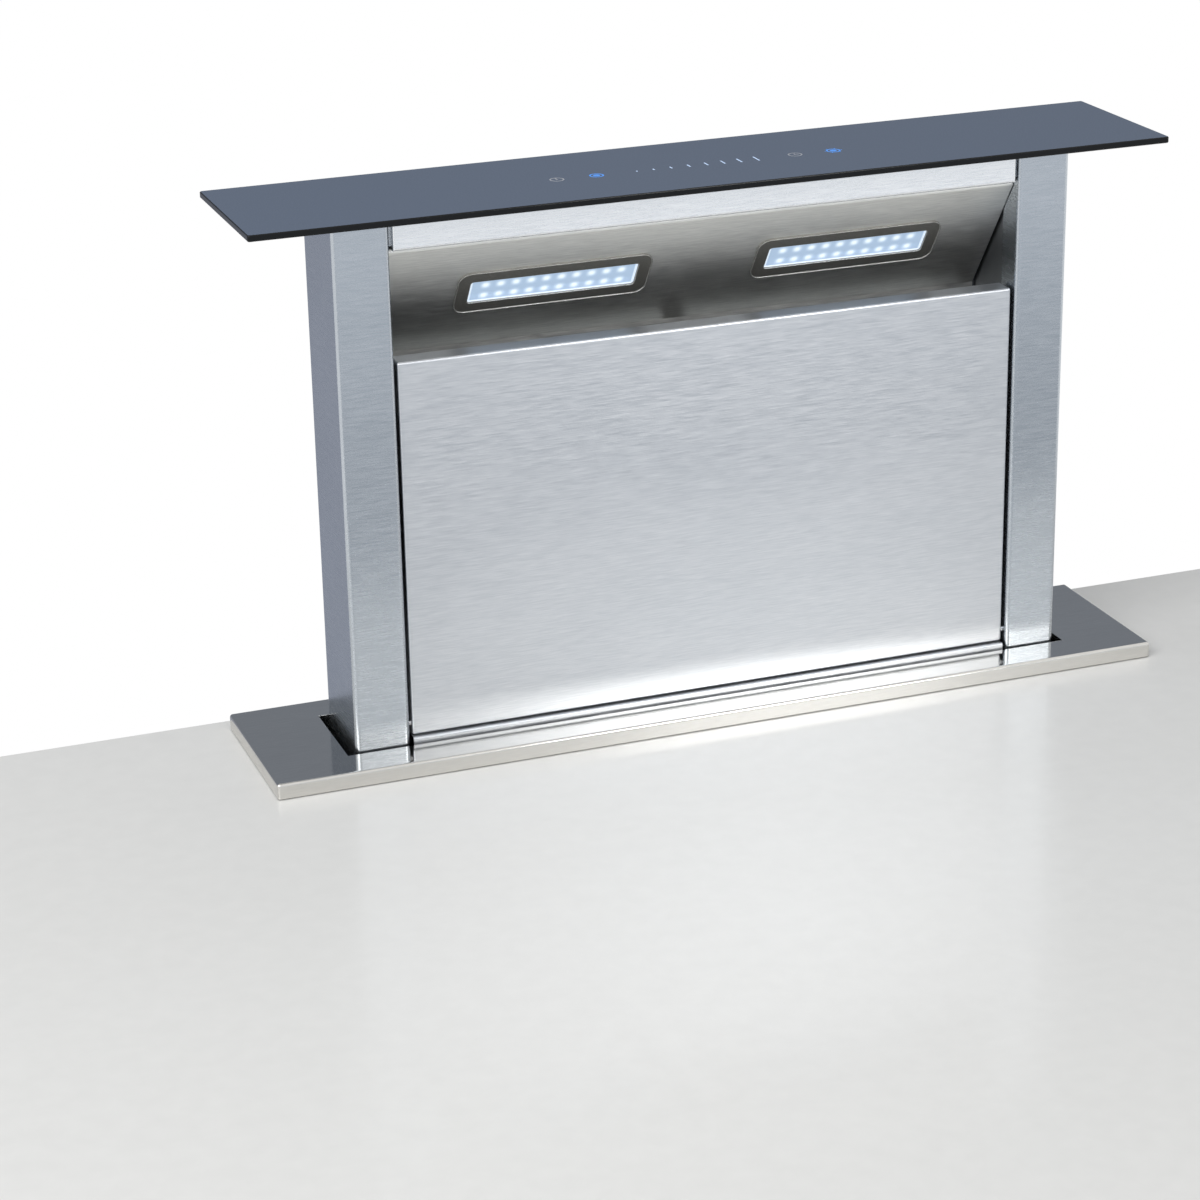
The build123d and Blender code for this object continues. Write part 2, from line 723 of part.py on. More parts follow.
# ---- Sill, filters and the post between them ----------------------------------------------

def drip_sill():
    """Sill under the panel, folded back into a trough that catches drips."""
    outline = [
        (front + sheet_mid, tower_bottom),
        (front + sheet_mid, sill_top - sheet_mid),
        (trough_front, sill_top - sheet_mid),
        (trough_front, trough_floor),
        (trough_back, trough_floor),
        (trough_back, sill_top),
    ]
    sill = folded_across(outline, rail_half, SHEET, SILL_BEND)
    end = block((rail_half - SHEET, rail_half), (trough_front, trough_back), (trough_floor, sill_top))
    ear = block((rail_half, inner), (front, front + SHEET), (tower_bottom, -COLLAR_DEPTH))
    for piece in (end, ear):
        sill += piece
        sill += other_side(piece)
    return sill


def filter_half_width():
    """Half the width of one filter between the post and the trough's end."""
    room = rail_half - SHEET - POST_WIDTH / 2
    return room / 2 - FILTER_SIDE_GAP


def filter_place(x):
    """Plane of a filter's back face: Y up the filter, Z to the front. It stands in the trough
    and leans back against the lamp panel's lower flange."""
    return Plane(origin=(x, *filter_seat), x_dir=(1, 0, 0), z_dir=(0, -filter_rise, filter_run))


def filter_places():
    """Planes of the left and right filters."""
    centre = (rail_half - SHEET + POST_WIDTH / 2) / 2
    return [filter_place(-centre), filter_place(centre)]


def filter_slab(inset, low, high):
    """Flat block inside the filter's outline, inset from its edges."""
    half = filter_half_width() - inset
    return block((-half, half), (inset, filter_length - inset), (low, high))


def mesh_levels():
    """Back and front faces of the mesh pack within the frame's thickness."""
    return (FILTER_THICKNESS - FILTER_MESH) / 2, (FILTER_THICKNESS + FILTER_MESH) / 2


def filter_frame(place):
    """Aluminium channel frame with a wire handle near its top."""
    frame = filter_slab(0, 0, FILTER_THICKNESS) - filter_slab(FILTER_RIM, 0, FILTER_THICKNESS)
    frame -= filter_slab(FILTER_RIM - FILTER_GROOVE, *mesh_levels())
    high = filter_length - FILTER_RIM / 2
    foot = FILTER_THICKNESS - HANDLE_WIRE
    reach = FILTER_THICKNESS + HANDLE_HEIGHT
    half = HANDLE_WIDTH / 2
    corners = [(-half, high, foot), (-half, high, reach), (half, high, reach), (half, high, foot)]
    route = FilletPolyline(*corners, radius=2 * HANDLE_WIRE)
    handle = sweep(Plane(origin=route @ 0, z_dir=route % 0) * Circle(HANDLE_WIRE), route)
    return place.location * (frame + handle)


def filter_mesh(place):
    """Pack of expanded aluminium mesh held in the frame's groove."""
    return place.location * filter_slab(FILTER_RIM - FILTER_GROOVE, *mesh_levels())


def filter_post():
    """Folded post between the filters, riveted to the duct's back wall."""
    x = POST_WIDTH / 2 - sheet_mid
    foot_y = duct_back - sheet_mid
    outline = [
        (-x - POST_FLANGE, foot_y),
        (-x, foot_y),
        (-x, POST_FRONT + sheet_mid),
        (x, POST_FRONT + sheet_mid),
        (x, foot_y),
        (x + POST_FLANGE, foot_y),
    ]
    return folded_upright(outline, sill_top, slant_foot[1] - SLANT_BACK_FLANGE - SLANT_GAP)


# ---- Housing under the worktop ------------------------------------------------------------

def stud_holes(piece):
    """Piece with clearance holes for the frame's studs."""
    for x, y in stud_places():
        piece -= rod(STUD_RADIUS + SLANT_GAP, (x, y, plate_top - 2 * HOUSING_SHEET), (x, y, plate_top))
    return piece


def housing_wrap():
    """Back and both sides of the housing in one folded sheet, with lips under the frame."""
    mid = HOUSING_SHEET / 2
    wall_x = housing_x - mid
    wall_y = housing_y - mid
    outline = [
        (-wall_x + HOUSING_RETURN, -wall_y),
        (-wall_x, -wall_y),
        (-wall_x, wall_y),
        (wall_x, wall_y),
        (wall_x, -wall_y),
        (wall_x - HOUSING_RETURN, -wall_y),
    ]
    wrap = folded_upright(outline, housing_bottom, plate_top, HOUSING_SHEET)
    lip_z = (plate_top - HOUSING_SHEET, plate_top)
    reach_x = housing_x - HOUSING_SHEET - HOUSING_LIP
    reach_y = housing_y - HOUSING_SHEET - HOUSING_LIP
    back_lip_x = housing_x - 2 * BEND
    wrap += block((-back_lip_x, back_lip_x), (reach_y, housing_y - HOUSING_SHEET), lip_z)
    lip = block((reach_x, housing_x - HOUSING_SHEET), (-reach_y, reach_y), lip_z)
    wrap += lip
    wrap += other_side(lip)
    for place in screw_places():
        wrap -= rod(SCREW_RADIUS, place[1], place[0])
    return stud_holes(wrap)


def housing_front():
    """Front cover of the housing, with the hole that feeds the blower."""
    half = housing_x - BEND
    cover = block((-half, half), (housing_front_y, -housing_y), (housing_bottom, plate_top))
    reach_y = -housing_y + HOUSING_SHEET + HOUSING_LIP
    inset = housing_x - HOUSING_RETURN - BEND
    cover += block((-inset, inset), (-housing_y, reach_y), (plate_top - HOUSING_SHEET, plate_top))
    cover -= rod(INLET_RADIUS, (fan_x, housing_front_y, FAN_Z), (fan_x, -housing_y, FAN_Z))
    for place in cover_screw_places():
        cover -= rod(SCREW_RADIUS, place[1], place[0])
    return stud_holes(cover)


def housing_base():
    """Floor tray of the housing, fixed inside its walls."""
    x = housing_x - HOUSING_SHEET
    y = housing_y - HOUSING_SHEET
    tray = block((-x, x), (-y, y), (housing_bottom, housing_bottom + BASE_FLANGE))
    tray = fillet(tray.edges().filter_by(Axis.Z), BEND + HOUSING_SHEET)
    hollow_x = x - HOUSING_SHEET
    hollow_y = y - HOUSING_SHEET
    room = (housing_bottom + HOUSING_SHEET, housing_bottom + BASE_FLANGE)
    tray -= block((-hollow_x, hollow_x), (-hollow_y, hollow_y), room)
    return tray


def cover_screw_places():
    """Each cover screw as the outer and inner ends of its shank."""
    x = housing_x - HOUSING_SHEET - HOUSING_RETURN / 2
    pitch = (HOUSING_DROP - 2 * CLAMP_DROP) / (COVER_SCREW_ROWS - 1)
    rows = [z - HOUSING_DROP / 2 for z in spread(COVER_SCREW_ROWS, pitch)]
    inside = housing_front_y + SCREW_LENGTH
    return [((s * x, housing_front_y, z), (s * x, inside, z)) for s in (-1, 1) for z in rows]


def clamp_screw_places():
    """Each clamp screw as the outer and inner ends of its shank."""
    z = -WORKTOP - CLAMP_DROP / 2
    rows = spread(2, CLAMP_SCREW_SPACING)
    outside = housing_x + CLAMP_SHEET
    inside = outside - SCREW_LENGTH
    return [((s * outside, y, z), (s * inside, y, z)) for s in (-1, 1) for y in rows]


def screw_places():
    """Every housing screw."""
    return cover_screw_places() + clamp_screw_places()


def housing_screws():
    """Pan-head screws of the front cover and of the clamp brackets."""
    screws = []
    for outside, inside in screw_places():
        out = (Vector(*outside) - Vector(*inside)).normalized()
        head_end = Vector(*outside) + out * SCREW_HEAD_HEIGHT
        head = rod(SCREW_HEAD, outside, tuple(head_end))
        rim = head.edges().group_by(lambda edge: (edge.center() - Vector(*outside)).length)[-1]
        head = chamfer(rim, SCREW_HEAD_HEIGHT / 2)
        screws.append(head + rod(SCREW_RADIUS, inside, outside))
    return screws


def clamp_bracket():
    """Right angle bracket that pulls the housing up against the worktop's underside."""
    mid = CLAMP_SHEET / 2
    outline = [
        (housing_x + mid, -WORKTOP - CLAMP_DROP),
        (housing_x + mid, -WORKTOP - mid),
        (housing_x + CLAMP_REACH, -WORKTOP - mid),
    ]
    half = CLAMP_DEPTH / 2
    bracket = extrude(Plane.XZ * strip(outline, CLAMP_SHEET, CLAMP_SHEET), half, both=True)
    hole_x = housing_x + CLAMP_REACH - 3 * CLAMP_HOLE
    for y in spread(2, CLAMP_HOLE_SPACING):
        bracket -= rod(CLAMP_HOLE, (hole_x, y, -WORKTOP - CLAMP_SHEET), (hole_x, y, -WORKTOP))
    for outside, inside in clamp_screw_places():
        bracket -= rod(SCREW_RADIUS, inside, outside)
    return bracket


# ---- Guides and lift drive ----------------------------------------------------------------

def guide_rail():
    """Right channel rail on the housing's wall, open towards the tower."""
    mid = GUIDE_SHEET / 2
    web = housing_x - HOUSING_SHEET - mid
    lips = web + mid - GUIDE_DEPTH + mid
    wall_y = GUIDE_WIDTH / 2 - mid
    slot = GUIDE_SLOT / 2
    near_half = [(lips, slot), (lips, wall_y), (web, wall_y)]
    outline = near_half + [(x, -y) for x, y in reversed(near_half)]
    low = tower_bottom - travel - GUIDE_TAIL
    rail = folded_upright(outline, low, -GUIDE_TOP_GAP, GUIDE_SHEET, GUIDE_SHEET)
    for outside, inside in clamp_screw_places():
        rail -= rod(SCREW_HEAD, inside, outside)
    return rail


def slider():
    """Right sliding shoe: a plate on the column, with a neck and head inside the rail."""
    z = (tower_bottom, tower_bottom + SHOE_HEIGHT)
    half_plate = SHOE_PLATE_WIDTH / 2
    web = housing_x - HOUSING_SHEET
    lips_in = web - GUIDE_DEPTH + GUIDE_SHEET
    head_x = (lips_in + SHOE_FIT, web - GUIDE_SHEET - SHOE_FIT)
    head_y = GUIDE_WIDTH / 2 - GUIDE_SHEET - SHOE_FIT
    neck_y = GUIDE_SLOT / 2 - SHOE_FIT
    shoe = block((side, side + SHOE_PLATE), (-half_plate, half_plate), z)
    shoe += block((side, head_x[1]), (-neck_y, neck_y), z)
    head = block(head_x, (-head_y, head_y), z)
    head = chamfer(head.edges().filter_by(Axis.Z), GUIDE_SHEET)
    return shoe + head


def lift_beam():
    """Channel across the tower's foot that joins both columns."""
    mid = BEAM_SHEET / 2
    low_y = shaft_y - BEAM_DEPTH / 2 + mid
    high_y = shaft_y + BEAM_DEPTH / 2 - mid
    web_z = beam_bottom + mid
    outline = [(low_y, beam_top), (low_y, web_z), (high_y, web_z), (high_y, beam_top)]
    half = side - SHEET
    beam = folded_across(outline, half, BEAM_SHEET, BEAM_SHEET)
    end_z = (beam_bottom + BEAM_SHEET, beam_top)
    end = block((half - BEAM_SHEET, half), (low_y + mid, high_y - mid), end_z)
    beam += end
    beam += other_side(end)
    for x in spread(BEAM_HOLES, 2 * side / (BEAM_HOLES + 2)):
        beam -= rod(BEAM_HOLE, (x, shaft_y, beam_bottom), (x, shaft_y, beam_bottom + BEAM_SHEET))
    return beam


def bearing_hangers():
    """Plates under the beam's ends, each with the bush that carries the cross shaft."""
    x = side - HANGER_INSET
    half = BEAM_DEPTH / 2
    z = (shaft_z - half, beam_bottom)
    plate = block((x, x + HANGER_SHEET), (shaft_y - half, shaft_y + half), z)
    plate = fillet(plate.edges().filter_by(Axis.X).group_by(Axis.Z)[0], BUSH_RADIUS)
    middle = x + HANGER_SHEET / 2
    ends = ((middle - BUSH_LENGTH / 2, shaft_y, shaft_z), (middle + BUSH_LENGTH / 2, shaft_y, shaft_z))
    plate += rod(BUSH_RADIUS, *ends)
    plate -= rod(SHAFT_RADIUS + RUNNING_FIT, *ends)
    return [plate, other_side(plate)]


def lift_shaft():
    """Cross shaft under the beam."""
    end = pinion_x + PINION_WIDTH + SHEET
    return rod(SHAFT_RADIUS, (-end, shaft_y, shaft_z), (end, shaft_y, shaft_z))


def lift_pinions():
    """Pinions on both ends of the cross shaft, each with a tooth pointing at its rack."""
    pinion = gear(PINION_TEETH, PINION_MODULE, PINION_WIDTH)
    pinion -= rod(SHAFT_RADIUS, (0, 0, 0), (PINION_WIDTH, 0, 0))
    pinion = Pos(pinion_x, shaft_y, shaft_z) * pinion
    return [pinion, other_side(pinion)]


def shaft_gear():
    """Large gear of the drive, on the cross shaft."""
    wheel = gear(GEAR_TEETH, GEAR_MODULE, GEAR_WIDTH)
    wheel -= rod(SHAFT_RADIUS, (0, 0, 0), (GEAR_WIDTH, 0, 0))
    return Pos(GEAR_X, shaft_y, shaft_z) * wheel


def motor_gear():
    """Small gear on the motor's shaft, with a gap between teeth facing the large gear."""
    wheel = gear(MOTOR_TEETH, GEAR_MODULE, GEAR_WIDTH, 180 / MOTOR_TEETH)
    ends = ((-MOTOR_PLATE - MOTOR_SHAFT_DEPTH, 0, 0), (GEAR_WIDTH + MOTOR_SHAFT_TIP, 0, 0))
    stub = rod(MOTOR_SHAFT, *ends)
    return Pos(GEAR_X, motor_y, shaft_z) * (wheel + stub)


def lift_motor():
    """Geared motor on the plate that hangs from the beam."""
    face = GEAR_X - MOTOR_PLATE
    plate_x = (face - MOTOR_PLATE, face)
    end = plate_x[0] - MOTOR_LENGTH
    plate_y = (shaft_y - BEAM_DEPTH / 2, shaft_y + BEAM_DEPTH / 2)
    low = shaft_z - MOTOR_RADIUS
    plate = block(plate_x, (motor_y - MOTOR_RADIUS, plate_y[1]), (low, shaft_z + MOTOR_RADIUS))
    plate += block(plate_x, plate_y, (low, beam_bottom))
    motor = plate + rod(MOTOR_RADIUS, (end, motor_y, shaft_z), (plate_x[0], motor_y, shaft_z))
    motor += rod(MOTOR_CAP_RADIUS, (end - MOTOR_CAP_LENGTH, motor_y, shaft_z), (end, motor_y, shaft_z))
    ends = ((plate_x[0], shaft_y, shaft_z), (face, shaft_y, shaft_z))
    motor -= rod(SHAFT_RADIUS + SHAFT_CLEARANCE, *ends)
    bore = (face - MOTOR_SHAFT_DEPTH - SHAFT_CLEARANCE, motor_y, shaft_z)
    return motor - rod(MOTOR_SHAFT + RUNNING_FIT, bore, (face, motor_y, shaft_z))


def rack():
    """Right rack on the housing's back wall, with a gap between teeth facing the pinion."""
    pitch = pi * PINION_MODULE
    root_y = rack_pitch_y + GEAR_ROOT * PINION_MODULE
    tip_y = rack_pitch_y - PINION_MODULE
    lean = tan(radians(PRESSURE_ANGLE))
    half = pitch / 4 - BACKLASH / 4
    tip_half = half - PINION_MODULE * lean
    root_half = half + GEAR_ROOT * PINION_MODULE * lean
    above = int((pinion_pitch + RACK_MARGIN) / 2 / pitch)
    below = int((travel + RACK_MARGIN) / pitch)
    teeth = [shaft_z + (i + 0.5) * pitch for i in range(-below - 1, above)]
    low = teeth[0] - pitch / 2
    high = teeth[-1] + pitch / 2
    back_y = root_y + RACK_BACK
    side_view = [(back_y, low), (root_y, low)]
    for z in teeth:
        side_view += [(root_y, z - root_half), (tip_y, z - tip_half)]
        side_view += [(tip_y, z + tip_half), (root_y, z + root_half)]
    side_view += [(root_y, high), (back_y, high)]
    bar = extrude(Plane.YZ * make_face(Polyline(*side_view, close=True)), RACK_WIDTH / 2, both=True)
    wall = housing_y - HOUSING_SHEET
    bar += block((-RACK_WEB / 2, RACK_WEB / 2), (back_y, wall), (low, high))
    bar += block((-RACK_FOOT / 2, RACK_FOOT / 2), (wall - RACK_FOOT_SHEET, wall), (low, high))
    return Pos(pinion_x + PINION_WIDTH / 2, 0, 0) * bar


# ---- Blower -------------------------------------------------------------------------------

def volute(inset, mouth_x, behind, depth):
    """Scroll-shaped block from the plane behind it forwards, drawn with arcs about the corners
    of a square. It widens clockwise from the tongue to the throat that leaves to the left."""
    step = SCROLL_STEP
    first = SCROLL_RADIUS - inset
    second = first + step
    third = second + step
    left = (fan_x - first, FAN_Z)
    top = (fan_x, FAN_Z + first)
    right = (fan_x + second, FAN_Z - step)
    bottom = (fan_x - step, FAN_Z - step - third)
    roof = scroll_floor + THROAT_HEIGHT - inset
    tongue = (fan_x - sqrt(first ** 2 - (FAN_Z - roof) ** 2), roof)
    turn = asin((FAN_Z - roof) / first) / 2
    below_left = (fan_x - first * cos(turn), FAN_Z - first * sin(turn))
    slope = sqrt(0.5)
    outline = ThreePointArc(left, (fan_x - first * slope, FAN_Z + first * slope), top)
    outline += ThreePointArc(top, (fan_x + second * slope, FAN_Z - step + second * slope), right)
    outline += ThreePointArc(right, (fan_x - step + third * slope, FAN_Z - step - third * slope), bottom)
    outline += Polyline(bottom, (mouth_x, bottom[1]), (mouth_x, roof), tongue)
    outline += ThreePointArc(tongue, below_left, left)
    face = make_face(Plane.XZ.offset(-behind) * outline)
    return extrude(face, depth, dir=(0, -1, 0))


def scroll_shell():
    """Spiral housing of the fan, open at its throat, its eye and its motor hole."""
    mouth = blower_left + HOUSING_SHEET
    outer_y = (scroll_front - SCROLL_WALL, scroll_back + SCROLL_WALL)
    shell = volute(0, mouth, outer_y[1], outer_y[1] - outer_y[0])
    flange_z = (scroll_floor - THROAT_FLANGE, scroll_floor + THROAT_HEIGHT + THROAT_FLANGE)
    flange_y = (outer_y[0] - THROAT_FLANGE, outer_y[1] + THROAT_FLANGE)
    shell += block((mouth, mouth + SCROLL_WALL), flange_y, flange_z)
    shell -= volute(SCROLL_WALL, mouth, scroll_back, SCROLL_WIDTH)
    eye = ((fan_x, scroll_back, FAN_Z), (fan_x, outer_y[1], FAN_Z))
    shell -= rod(INLET_THROAT + FAN_CLEARANCE, *eye)
    hub = ((fan_x, outer_y[0], FAN_Z), (fan_x, scroll_front, FAN_Z))
    shell -= rod(FAN_HUB + FAN_CLEARANCE, *hub)
    return shell


def inlet_ring():
    """Bell mouth that leads air from the housing into the fan's eye."""
    face = blower_back - HOUSING_SHEET - INLET_SHEET / 2
    outline = [(INLET_RADIUS + INLET_FLANGE, face), (INLET_THROAT, face), (INLET_THROAT, scroll_back)]
    section = strip(outline, INLET_SHEET, INLET_RADIUS - INLET_THROAT)
    return Pos(fan_x, 0, FAN_Z) * revolve(section, Axis.Y)


def fan_wheel():
    """Centrifugal wheel: forward-curved blades between a ring and a disc with a hub."""
    lead = radians(FAN_BLADE_LEAD)
    tip = FAN_RADIUS - FAN_BLADE_TIP
    curve = SagittaArc((FAN_EYE, 0), (tip * cos(lead), tip * sin(lead)), FAN_BLADE_BOW)
    blade = trace(curve, FAN_BLADE_SHEET)
    blades = Sketch() + [Rot(0, 0, 360 / FAN_BLADES * i) * blade for i in range(FAN_BLADES)]
    wheel = extrude(blades, FAN_WIDTH)
    wheel += extrude(Circle(FAN_RADIUS) - Circle(FAN_EYE), FAN_DISC)
    wheel += extrude(Pos(0, 0, FAN_WIDTH - FAN_DISC) * Circle(FAN_RADIUS), FAN_DISC)
    wheel += extrude(Pos(0, 0, FAN_WIDTH - FAN_HUB_LENGTH) * Circle(FAN_HUB), FAN_HUB_LENGTH)
    wheel += extrude(Pos(0, 0, FAN_WIDTH) * Circle(FAN_SHAFT), FAN_SHAFT_LENGTH)
    return Plane(origin=(fan_x, fan_back, FAN_Z), x_dir=(1, 0, 0), z_dir=(0, -1, 0)).location * wheel


def fan_motor():
    """Fan motor on the scroll's front wall, with a bore for its shaft."""
    face = scroll_front - SCROLL_WALL
    end = face - MOTOR_FLANGE_SHEET - FAN_MOTOR_LENGTH
    body = rod(FAN_MOTOR_RADIUS, (fan_x, face, FAN_Z), (fan_x, end, FAN_Z))
    body = fillet(body.edges().sort_by(Axis.Y)[0], FAN_MOTOR_EDGE)
    body += rod(MOTOR_FLANGE, (fan_x, face, FAN_Z), (fan_x, face - MOTOR_FLANGE_SHEET, FAN_Z))
    bore_end = fan_back - FAN_WIDTH - FAN_SHAFT_LENGTH - SHAFT_CLEARANCE
    return body - rod(FAN_SHAFT + RUNNING_FIT, (fan_x, face, FAN_Z), (fan_x, bore_end, FAN_Z))


def blower_box():
    """Steel box round the blower, open to the front."""
    x = (blower_left, blower_right)
    z = (housing_bottom, blower_top)
    t = HOUSING_SHEET
    box = block(x, (blower_front, blower_back), z)
    box = fillet(box.edges().filter_by(Axis.Y), BEND)
    box -= block((x[0] + t, x[1] - t), (blower_front + t, blower_back - t), (z[0] + t, z[1] - t))
    rim = BLOWER_FLANGE
    box -= block((x[0] + rim, x[1] - rim), (blower_front, blower_front + t), (z[0] + rim, z[1] - rim))
    box -= rod(INLET_RADIUS, (fan_x, blower_back - t, FAN_Z), (fan_x, blower_back, FAN_Z))
    outlet_y = (scroll_front, scroll_back)
    outlet_z = (scroll_floor + SCROLL_WALL, scroll_floor + THROAT_HEIGHT - SCROLL_WALL)
    return box - block((x[0], x[0] + t), outlet_y, outlet_z)


def blower_lid():
    """Front lid of the blower box, with its edges folded back round the box."""
    t = HOUSING_SHEET
    x = (blower_left - t - LID_GAP, blower_right + t + LID_GAP)
    z = (housing_bottom, blower_top + t + LID_GAP)
    lid = block(x, (blower_front - t, blower_front + BLOWER_FLANGE), z)
    lid = fillet(lid.edges().filter_by(Axis.Y), BEND)
    hollow_z = (housing_bottom, blower_top + LID_GAP)
    return lid - block((x[0] + t, x[1] - t), (blower_front, blower_front + BLOWER_FLANGE), hollow_z)


# ---- Outlet -------------------------------------------------------------------------------

def outlet_point(x):
    """Point on the outlet's axis."""
    return (x, spigot_y, spigot_z)


def flap_point(z):
    """Point on the flap pin's axis, at a height from the outlet's axis."""
    return (flap_x, spigot_y, spigot_z + z)


def outlet_spigot():
    """Round duct spigot with the ledge that the flaps close against."""
    bore = SPIGOT_RADIUS - SPIGOT_WALL
    spigot = rod(SPIGOT_FLANGE, outlet_point(blower_left), outlet_point(spigot_face))
    spigot += rod(SPIGOT_RADIUS, outlet_point(blower_left), outlet_point(spigot_face - SPIGOT_LENGTH))
    ledge_face = flap_x + FLAP_SHEET / 2 + SLANT_GAP
    spigot -= rod(bore, outlet_point(ledge_face), outlet_point(spigot_face - SPIGOT_LENGTH))
    spigot -= rod(bore - LEDGE_WIDTH, outlet_point(blower_left), outlet_point(ledge_face))
    spigot -= rod(bore, outlet_point(blower_left), outlet_point(ledge_face + LEDGE_SHEET))
    return spigot - rod(FLAP_PIN, flap_point(-SPIGOT_FLANGE), flap_point(SPIGOT_FLANGE))


def flap_pin():
    """Upright pin across the spigot that both flaps turn on."""
    return rod(FLAP_PIN, flap_point(-SPIGOT_RADIUS), flap_point(SPIGOT_RADIUS))


def flap(turn):
    """Half-round flap on the side that turn names, with two knuckles on the pin."""
    radius = SPIGOT_RADIUS - SPIGOT_WALL - FLAP_EDGE_GAP
    half = FLAP_SHEET / 2
    plate = rod(radius, outlet_point(flap_x - half), outlet_point(flap_x + half))
    reach = 2 * radius
    far = sorted((spigot_y + turn * FLAP_SPLIT, spigot_y + turn * reach))
    plate &= block((flap_x - half, flap_x + half), far, (spigot_z - reach, spigot_z + reach))
    step = KNUCKLE_LENGTH + KNUCKLE_GAP
    own = KNUCKLE_START if turn > 0 else KNUCKLE_START + step
    starts = (own, own - 2 * KNUCKLE_START - 2 * step + KNUCKLE_GAP)
    near = sorted((spigot_y, spigot_y + turn * FLAP_SPLIT))
    for start in starts:
        plate += rod(FLAP_KNUCKLE, flap_point(start), flap_point(start + KNUCKLE_LENGTH))
        span = (spigot_z + start, spigot_z + start + KNUCKLE_LENGTH)
        plate += block((flap_x - half, flap_x + half), near, span)
    return plate - rod(FLAP_PIN + RUNNING_FIT, flap_point(-reach), flap_point(reach))


# ---- Control box --------------------------------------------------------------------------

def control_box():
    """Steel tray for the electronics, open to the front."""
    half = BOX_WIDTH / 2
    t = BOX_SHEET
    z = (BOX_TOP - BOX_HEIGHT, BOX_TOP)
    box = block((BOX_X - half, BOX_X + half), (box_front, housing_front_y), z)
    box = fillet(box.edges().filter_by(Axis.Y), BEND)
    inside_x = (BOX_X - half + t, BOX_X + half - t)
    box -= block(inside_x, (box_front, housing_front_y - t), (BOX_TOP - BOX_HEIGHT + t, BOX_TOP - t))
    gland = gland_points()
    return box - rod(GLAND_NECK, gland[0], gland[1])


def control_lid():
    """Lid of the control box, with a rim folded over the tray."""
    half = BOX_WIDTH / 2 + BOX_SHEET
    t = BOX_SHEET
    z = (BOX_TOP - BOX_HEIGHT - t, BOX_TOP + t)
    lid = block((BOX_X - half, BOX_X + half), (box_front - t, box_front + BOARD_MARGIN), z)
    lid = fillet(lid.edges().filter_by(Axis.Y), BEND + t)
    rim_x = (BOX_X - half + t, BOX_X + half - t)
    return lid - block(rim_x, (box_front, box_front + BOARD_MARGIN), (z[0] + t, z[1] - t))


def control_board():
    """Main circuit board on four stand-offs, with its tall parts."""
    half = BOX_WIDTH / 2 - BOARD_MARGIN
    low = BOX_TOP - BOX_HEIGHT + BOARD_MARGIN
    high = BOX_TOP - BOARD_MARGIN
    floor = housing_front_y - BOX_SHEET
    back_face = floor - BOARD_STANDOFF
    face = back_face - BOARD_SHEET
    board = block((BOX_X - half, BOX_X + half), (face, back_face), (low, high))
    for x in (BOX_X - half + BOARD_MARGIN, BOX_X + half - BOARD_MARGIN):
        for z in (low + BOARD_MARGIN, high - BOARD_MARGIN):
            board += rod(STANDOFF_RADIUS, (x, back_face, z), (x, floor, z))
    left = BOX_X - half + BOARD_PART_INSET
    bottom = low + BOARD_PART_INSET
    transformer_z = (bottom, bottom + TRANSFORMER_HEIGHT)
    board += block((left, left + TRANSFORMER_WIDTH), (face - TRANSFORMER_DEPTH, face), transformer_z)
    for x in (BOX_X + BOARD_PART_INSET, BOX_X + BOARD_PART_INSET + CAPACITOR_PITCH):
        z = bottom + BOARD_PART_INSET
        board += rod(CAPACITOR_RADIUS, (x, face, z), (x, face - CAPACITOR_LENGTH, z))
    top = high - BOARD_MARGIN / 2
    terminal_x = (BOX_X - TERMINAL_WIDTH / 2, BOX_X + TERMINAL_WIDTH / 2)
    board += block(terminal_x, (face - TERMINAL_SIZE, face), (top - TERMINAL_SIZE, top))
    return board


def gland_points():
    """Ends of the cable gland's neck in the box's wall, and its outer end."""
    wall = BOX_X + BOX_WIDTH / 2
    y = (box_front + housing_front_y) / 2
    z = BOX_TOP - BOX_HEIGHT / 2
    return [(wall - BOX_SHEET - GLAND_TAIL, y, z), (wall, y, z), (wall + GLAND_LENGTH, y, z)]


def mains_gland():
    """Cable gland: neck through the wall, hexagon and domed nut."""
    inside, wall, outside = gland_points()
    hexagon_end = (wall[0] + GLAND_NUT_LENGTH, wall[1], wall[2])
    gland = rod(GLAND_NECK, inside, wall)
    nut_plane = Plane(origin=wall, x_dir=(0, 0, 1), z_dir=(1, 0, 0))
    hexagon = nut_plane * RegularPolygon(GLAND_NUT, 6, major_radius=False)
    gland += extrude(hexagon, GLAND_NUT_LENGTH)
    dome = rod(GLAND_DOME, hexagon_end, outside)
    gland += fillet(dome.edges().sort_by(Axis.X)[-1], GLAND_ROUNDING)
    return gland - rod(GLAND_BORE, inside, outside)


# ---- Every piece by name ------------------------------------------------------------------

